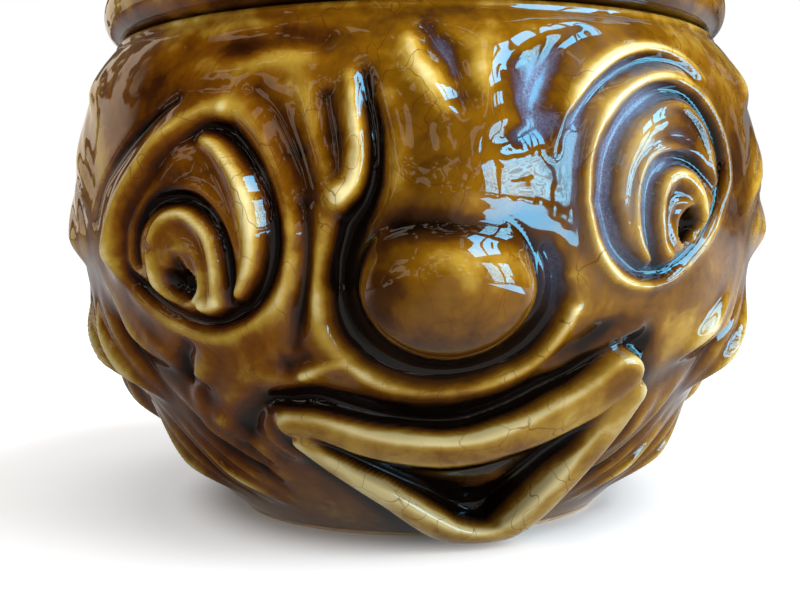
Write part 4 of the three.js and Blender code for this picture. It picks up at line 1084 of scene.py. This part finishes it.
def give_lid_pool(mesh, outline):
    """Glaze thins on the rim's crest and gathers in the angle behind the rim and at the knob's foot."""
    places = np.zeros(len(mesh.vertices) * 3)
    mesh.vertices.foreach_get("co", places)
    places = places.reshape(-1, 3) / MM
    radius, height = np.hypot(places[:, 0], places[:, 1]), places[:, 2]
    widest, middle = outline[outline[:, 0].argmax()]

    # The corner lies 4.4 mm over the rim's middle, and the knob's foot 12 mm under its top, 7 mm out.
    from_rim = np.hypot(radius - widest, (height - middle) / 2.2)
    from_corner = np.hypot(radius - widest + DOME_INSET, height - middle - 4.4)
    from_knob = np.hypot(radius - 7, height - outline[:, 1].max() + 12)
    pool = np.full(len(radius), LID_GLAZE)
    for away, amount, reach in ((from_rim, *RIM_GLAZE), (from_corner, *CORNER_GLAZE),
                                (from_knob, *KNOB_GLAZE)):
        pool += amount * np.exp(-(away / reach) ** 2)
    give_values(mesh, "pool", pool)


def aim_at_pot(item, bearing, elevation, distance):
    """Puts a thing at a bearing from the face's front and a distance from the pot, and turns it there."""
    turn, rise = math.radians(bearing), math.radians(elevation)
    offset = Vector((math.sin(turn) * math.cos(rise), -math.cos(turn) * math.cos(rise), math.sin(rise)))
    item.location = Vector(POT_MIDDLE) + offset * distance
    item.rotation_euler = offset.to_track_quat("Z", "Y").to_euler()


def area_light(name, place, size, power, tint):
    """A rectangular light that points at the pot and isn't mirrored in its glaze."""
    data = bpy.data.lights.new(name, "AREA")
    data.shape = "RECTANGLE"
    data.size, data.size_y = size
    data.energy = power
    data.color = tint
    light = add_object(name, data)
    light.visible_glossy = False
    aim_at_pot(light, *place)


class BuildStage(bpy.types.Operator):
    """Make the floor, the lights, the pale surroundings and the camera"""
    bl_idname = "chutney_pot.stage"
    bl_label = "Stage"

    def execute(self, context):
        scene = context.scene
        stage = scene.pot_stage
        mesh = flat_card("ground", -GROUND_REACH, GROUND_REACH, -GROUND_REACH, GROUND_REACH)
        mesh.materials.append(ground_material())
        add_object("ground", mesh)

        world = bpy.data.worlds.new("pale_room")
        scene.world = world
        world.use_nodes = True
        pale_room(world.node_tree, stage.sky_strength)

        area_light("window", WINDOW_PLACE, WINDOW_SIZE, stage.window_power, COOL_WHITE)
        for light in FILL_LIGHTS:
            area_light(*light)
        window_view()

        data = bpy.data.cameras.new("camera")
        data.lens = stage.lens
        data.sensor_width = 36.0
        data.clip_start = 0.01
        camera = add_object("camera", data)
        bearing = stage.camera_bearing
        distance = stage.camera_distance
        camera.location = (distance * math.sin(bearing), -distance * math.cos(bearing), stage.camera_height)
        turn = Matrix.Rotation(bearing + stage.camera_yaw, 4, "Z")
        down = Matrix.Rotation(math.pi / 2 - stage.camera_pitch, 4, "X")
        roll = Matrix.Rotation(stage.camera_roll, 4, "Z")
        camera.rotation_euler = (turn @ down @ roll).to_euler()
        scene.camera = camera
        scene.view_settings.view_transform = "Standard"
        return {"FINISHED"}


def seen_plainly(n, path):
    """1 for what the camera sees straight or through something clear, and 0 for all other rays."""
    return n.math("ADD", path["Is Camera Ray"], path["Is Transmission Ray"], clamp=True)


def pale_room(tree, strength):
    """White behind the pot for the camera, and for the glaze a room that is dim on the camera's side."""
    tree.nodes.clear()
    n = Nodes(tree)
    path = n.add("LightPath").outputs
    around, way = n.coordinates("Generated")
    shapes = n.span(n.noise(around, 3.2, 2.0, 0.5, 1.2), 0.47, 0.5, 0.12, 1.0)
    behind = n.span(n.math("SUBTRACT", way["Y"], n.product(way["Z"], 0.5)), 0.1, 0.4, 0.015, 1.0)
    beside = n.span(way["X"], -0.4, 0.4, 1.0, 0.3)
    spots = n.span(n.noise(around, 5.5, 1.0, 0.4, 0.8), 0.585, 0.6, 0.0, 1.3)
    things = n.product(spots, n.span(way["Y"], 0.0, -0.2))
    mirrored = n.product(path["Is Glossy Ray"], n.sum(n.product(behind, shapes, beside), things))
    lit = n.product(path["Is Diffuse Ray"], strength)
    wall = n.blend(n.span(way["X"], -0.5, 0.5), WARM_WALL, rgba(COOL_WHITE))
    tone = n.blend(path["Is Glossy Ray"], WHITE, wall)
    back = n.add("Background", Color=tone, Strength=n.sum(seen_plainly(n, path), mirrored, lit))
    n.finish("OutputWorld", back.outputs[0])


def window_view():
    """What the glaze mirrors on its right: a window with dark bars, and sky and branches behind."""
    material, n = empty_material("sky_in_window")
    place, axes = n.coordinates("Object")
    panes = n.product(*(n.span(n.math("ABSOLUTE", n.math("SUBTRACT", axes[axis], middle)), start, end)
                        for axis, middle, start, end in WINDOW_BARS))
    branches = n.span(n.noise(place, 26.0, 5.0, 0.7, 1.6), 0.42, 0.56, 0.35, 1.0)
    low = n.span(axes["Y"], 0.12, -0.1)
    leafy = n.math("SUBTRACT", 1.0, n.product(low, n.math("SUBTRACT", 1.0, branches)))
    tint = n.blend(n.span(axes["Y"], -0.2, 0.2), SKY_LOW, SKY_HIGH)
    open_sky = n.span(n.noise(place, 4.5, 2.0, 0.5, 0.6), 0.37, 0.39)
    strength = n.product(panes, leafy, open_sky, WINDOW_GLOW)
    n.finish("OutputMaterial", n.add("Emission", Color=tint, Strength=strength).outputs[0])
    mesh = flat_card("window_view", WINDOW_LEFT, WINDOW_RIGHT, WINDOW_BOTTOM, WINDOW_TOP)
    mesh.materials.append(material)
    card = add_object("window_view", mesh)
    aim_at_pot(card, *WINDOW_VIEW_PLACE)
    card.visible_camera = False
    card.visible_diffuse = False
    card.visible_shadow = False
    return card


def ground_material():
    """A white ground that keeps the pot's real soft shadow, and has painted shade round the pot where its
    white glow is dimmed. The glaze mirrors it dimmer, with a patch of light.
    """
    material, n = empty_material("white_ground")
    path = n.add("LightPath").outputs
    place, axes = n.coordinates("Object")
    away = n.vector("LENGTH", n.vector("MULTIPLY_ADD", place, SHADE_SQUEEZE, SHADE_SHIFT))
    matt = n.add("BsdfDiffuse", Color=n.span(n.noise(place, 40.0), 0.3, 0.7, 0.78, 0.8))
    # Painted shade: the floor's white glow is dimmed near the pot and comes back in two steps farther out.
    shaded_glow = n.sum(n.span(away, 0.034, 0.05, 0.03, 0.44), n.span(away, 0.09, 0.15, 0.0, 0.56))
    glow = n.add("Emission", Color=WHITE, Strength=n.product(seen_plainly(n, path), shaded_glow))
    total = n.add("AddShader")
    n.put(total.inputs[0], matt.outputs[0])
    n.put(total.inputs[1], glow.outputs[0])

    open_floor = n.math("ADD", 0.8, n.span(away, 0.038, 0.088), clamp=True)
    dim = n.product(open_floor, n.span(axes["Y"], 0.06, -0.06), path["Is Glossy Ray"])
    mirrored = n.product(*(n.span(axes[axis], *edge) for axis, edges in FLOOR_LIGHT_EDGES for edge in edges))
    tone = n.blend(mirrored, FLOOR_TONE, FLOOR_LIGHT)
    plain = n.span(axes["X"], -0.05, 0.0, 0.08, 0.44)
    room = n.add("Emission", Color=tone, Strength=n.sum(plain, n.product(mirrored, FLOOR_GLOW)))
    either = n.add("MixShader", Fac=dim)
    n.put(either.inputs[1], total.outputs[0])
    n.put(either.inputs[2], room.outputs[0])
    n.finish("OutputMaterial", either.outputs[0])
    return material


class ChutneyPotPanel(bpy.types.Panel):
    """Buttons and sizes for the chutney pot"""
    bl_idname = "VIEW3D_PT_chutney_pot"
    bl_label = "Chutney pot"
    bl_space_type = "VIEW_3D"
    bl_region_type = "UI"
    bl_category = "Chutney pot"

    def draw(self, context):
        scene = context.scene
        for title, group, operator in (("Pot", scene.pot_sizes, BuildPot),
                                       ("Lid", scene.lid_sizes, BuildLid),
                                       ("Glaze", scene.pot_glaze, None),
                                       ("Stage", scene.pot_stage, BuildStage)):
            box = self.layout.box()
            box.label(text=title)
            for name in group.bl_rna.properties.keys():
                if name not in ("rna_type", "name"):
                    box.prop(group, name)
            if operator:
                box.operator(operator.bl_idname)


GROUPS = {"pot_sizes": PotSizes, "lid_sizes": LidSizes, "pot_glaze": GlazeLook, "pot_stage": StageLook}
OPERATORS = (BuildPot, BuildLid, BuildStage)


def register():
    for item in (*GROUPS.values(), *OPERATORS, ChutneyPotPanel):
        bpy.utils.register_class(item)
    for name, group in GROUPS.items():
        setattr(bpy.types.Scene, name, PointerProperty(type=group))


def unregister():
    for name in GROUPS:
        delattr(bpy.types.Scene, name)
    for item in (ChutneyPotPanel, *reversed(OPERATORS), *reversed(GROUPS.values())):
        bpy.utils.unregister_class(item)


def main():
    register()
    bpy.ops.chutney_pot.pot()
    bpy.ops.chutney_pot.lid()
    bpy.ops.chutney_pot.stage()
    bpy.context.view_layer.update()


if __name__ == "__main__":
    main()
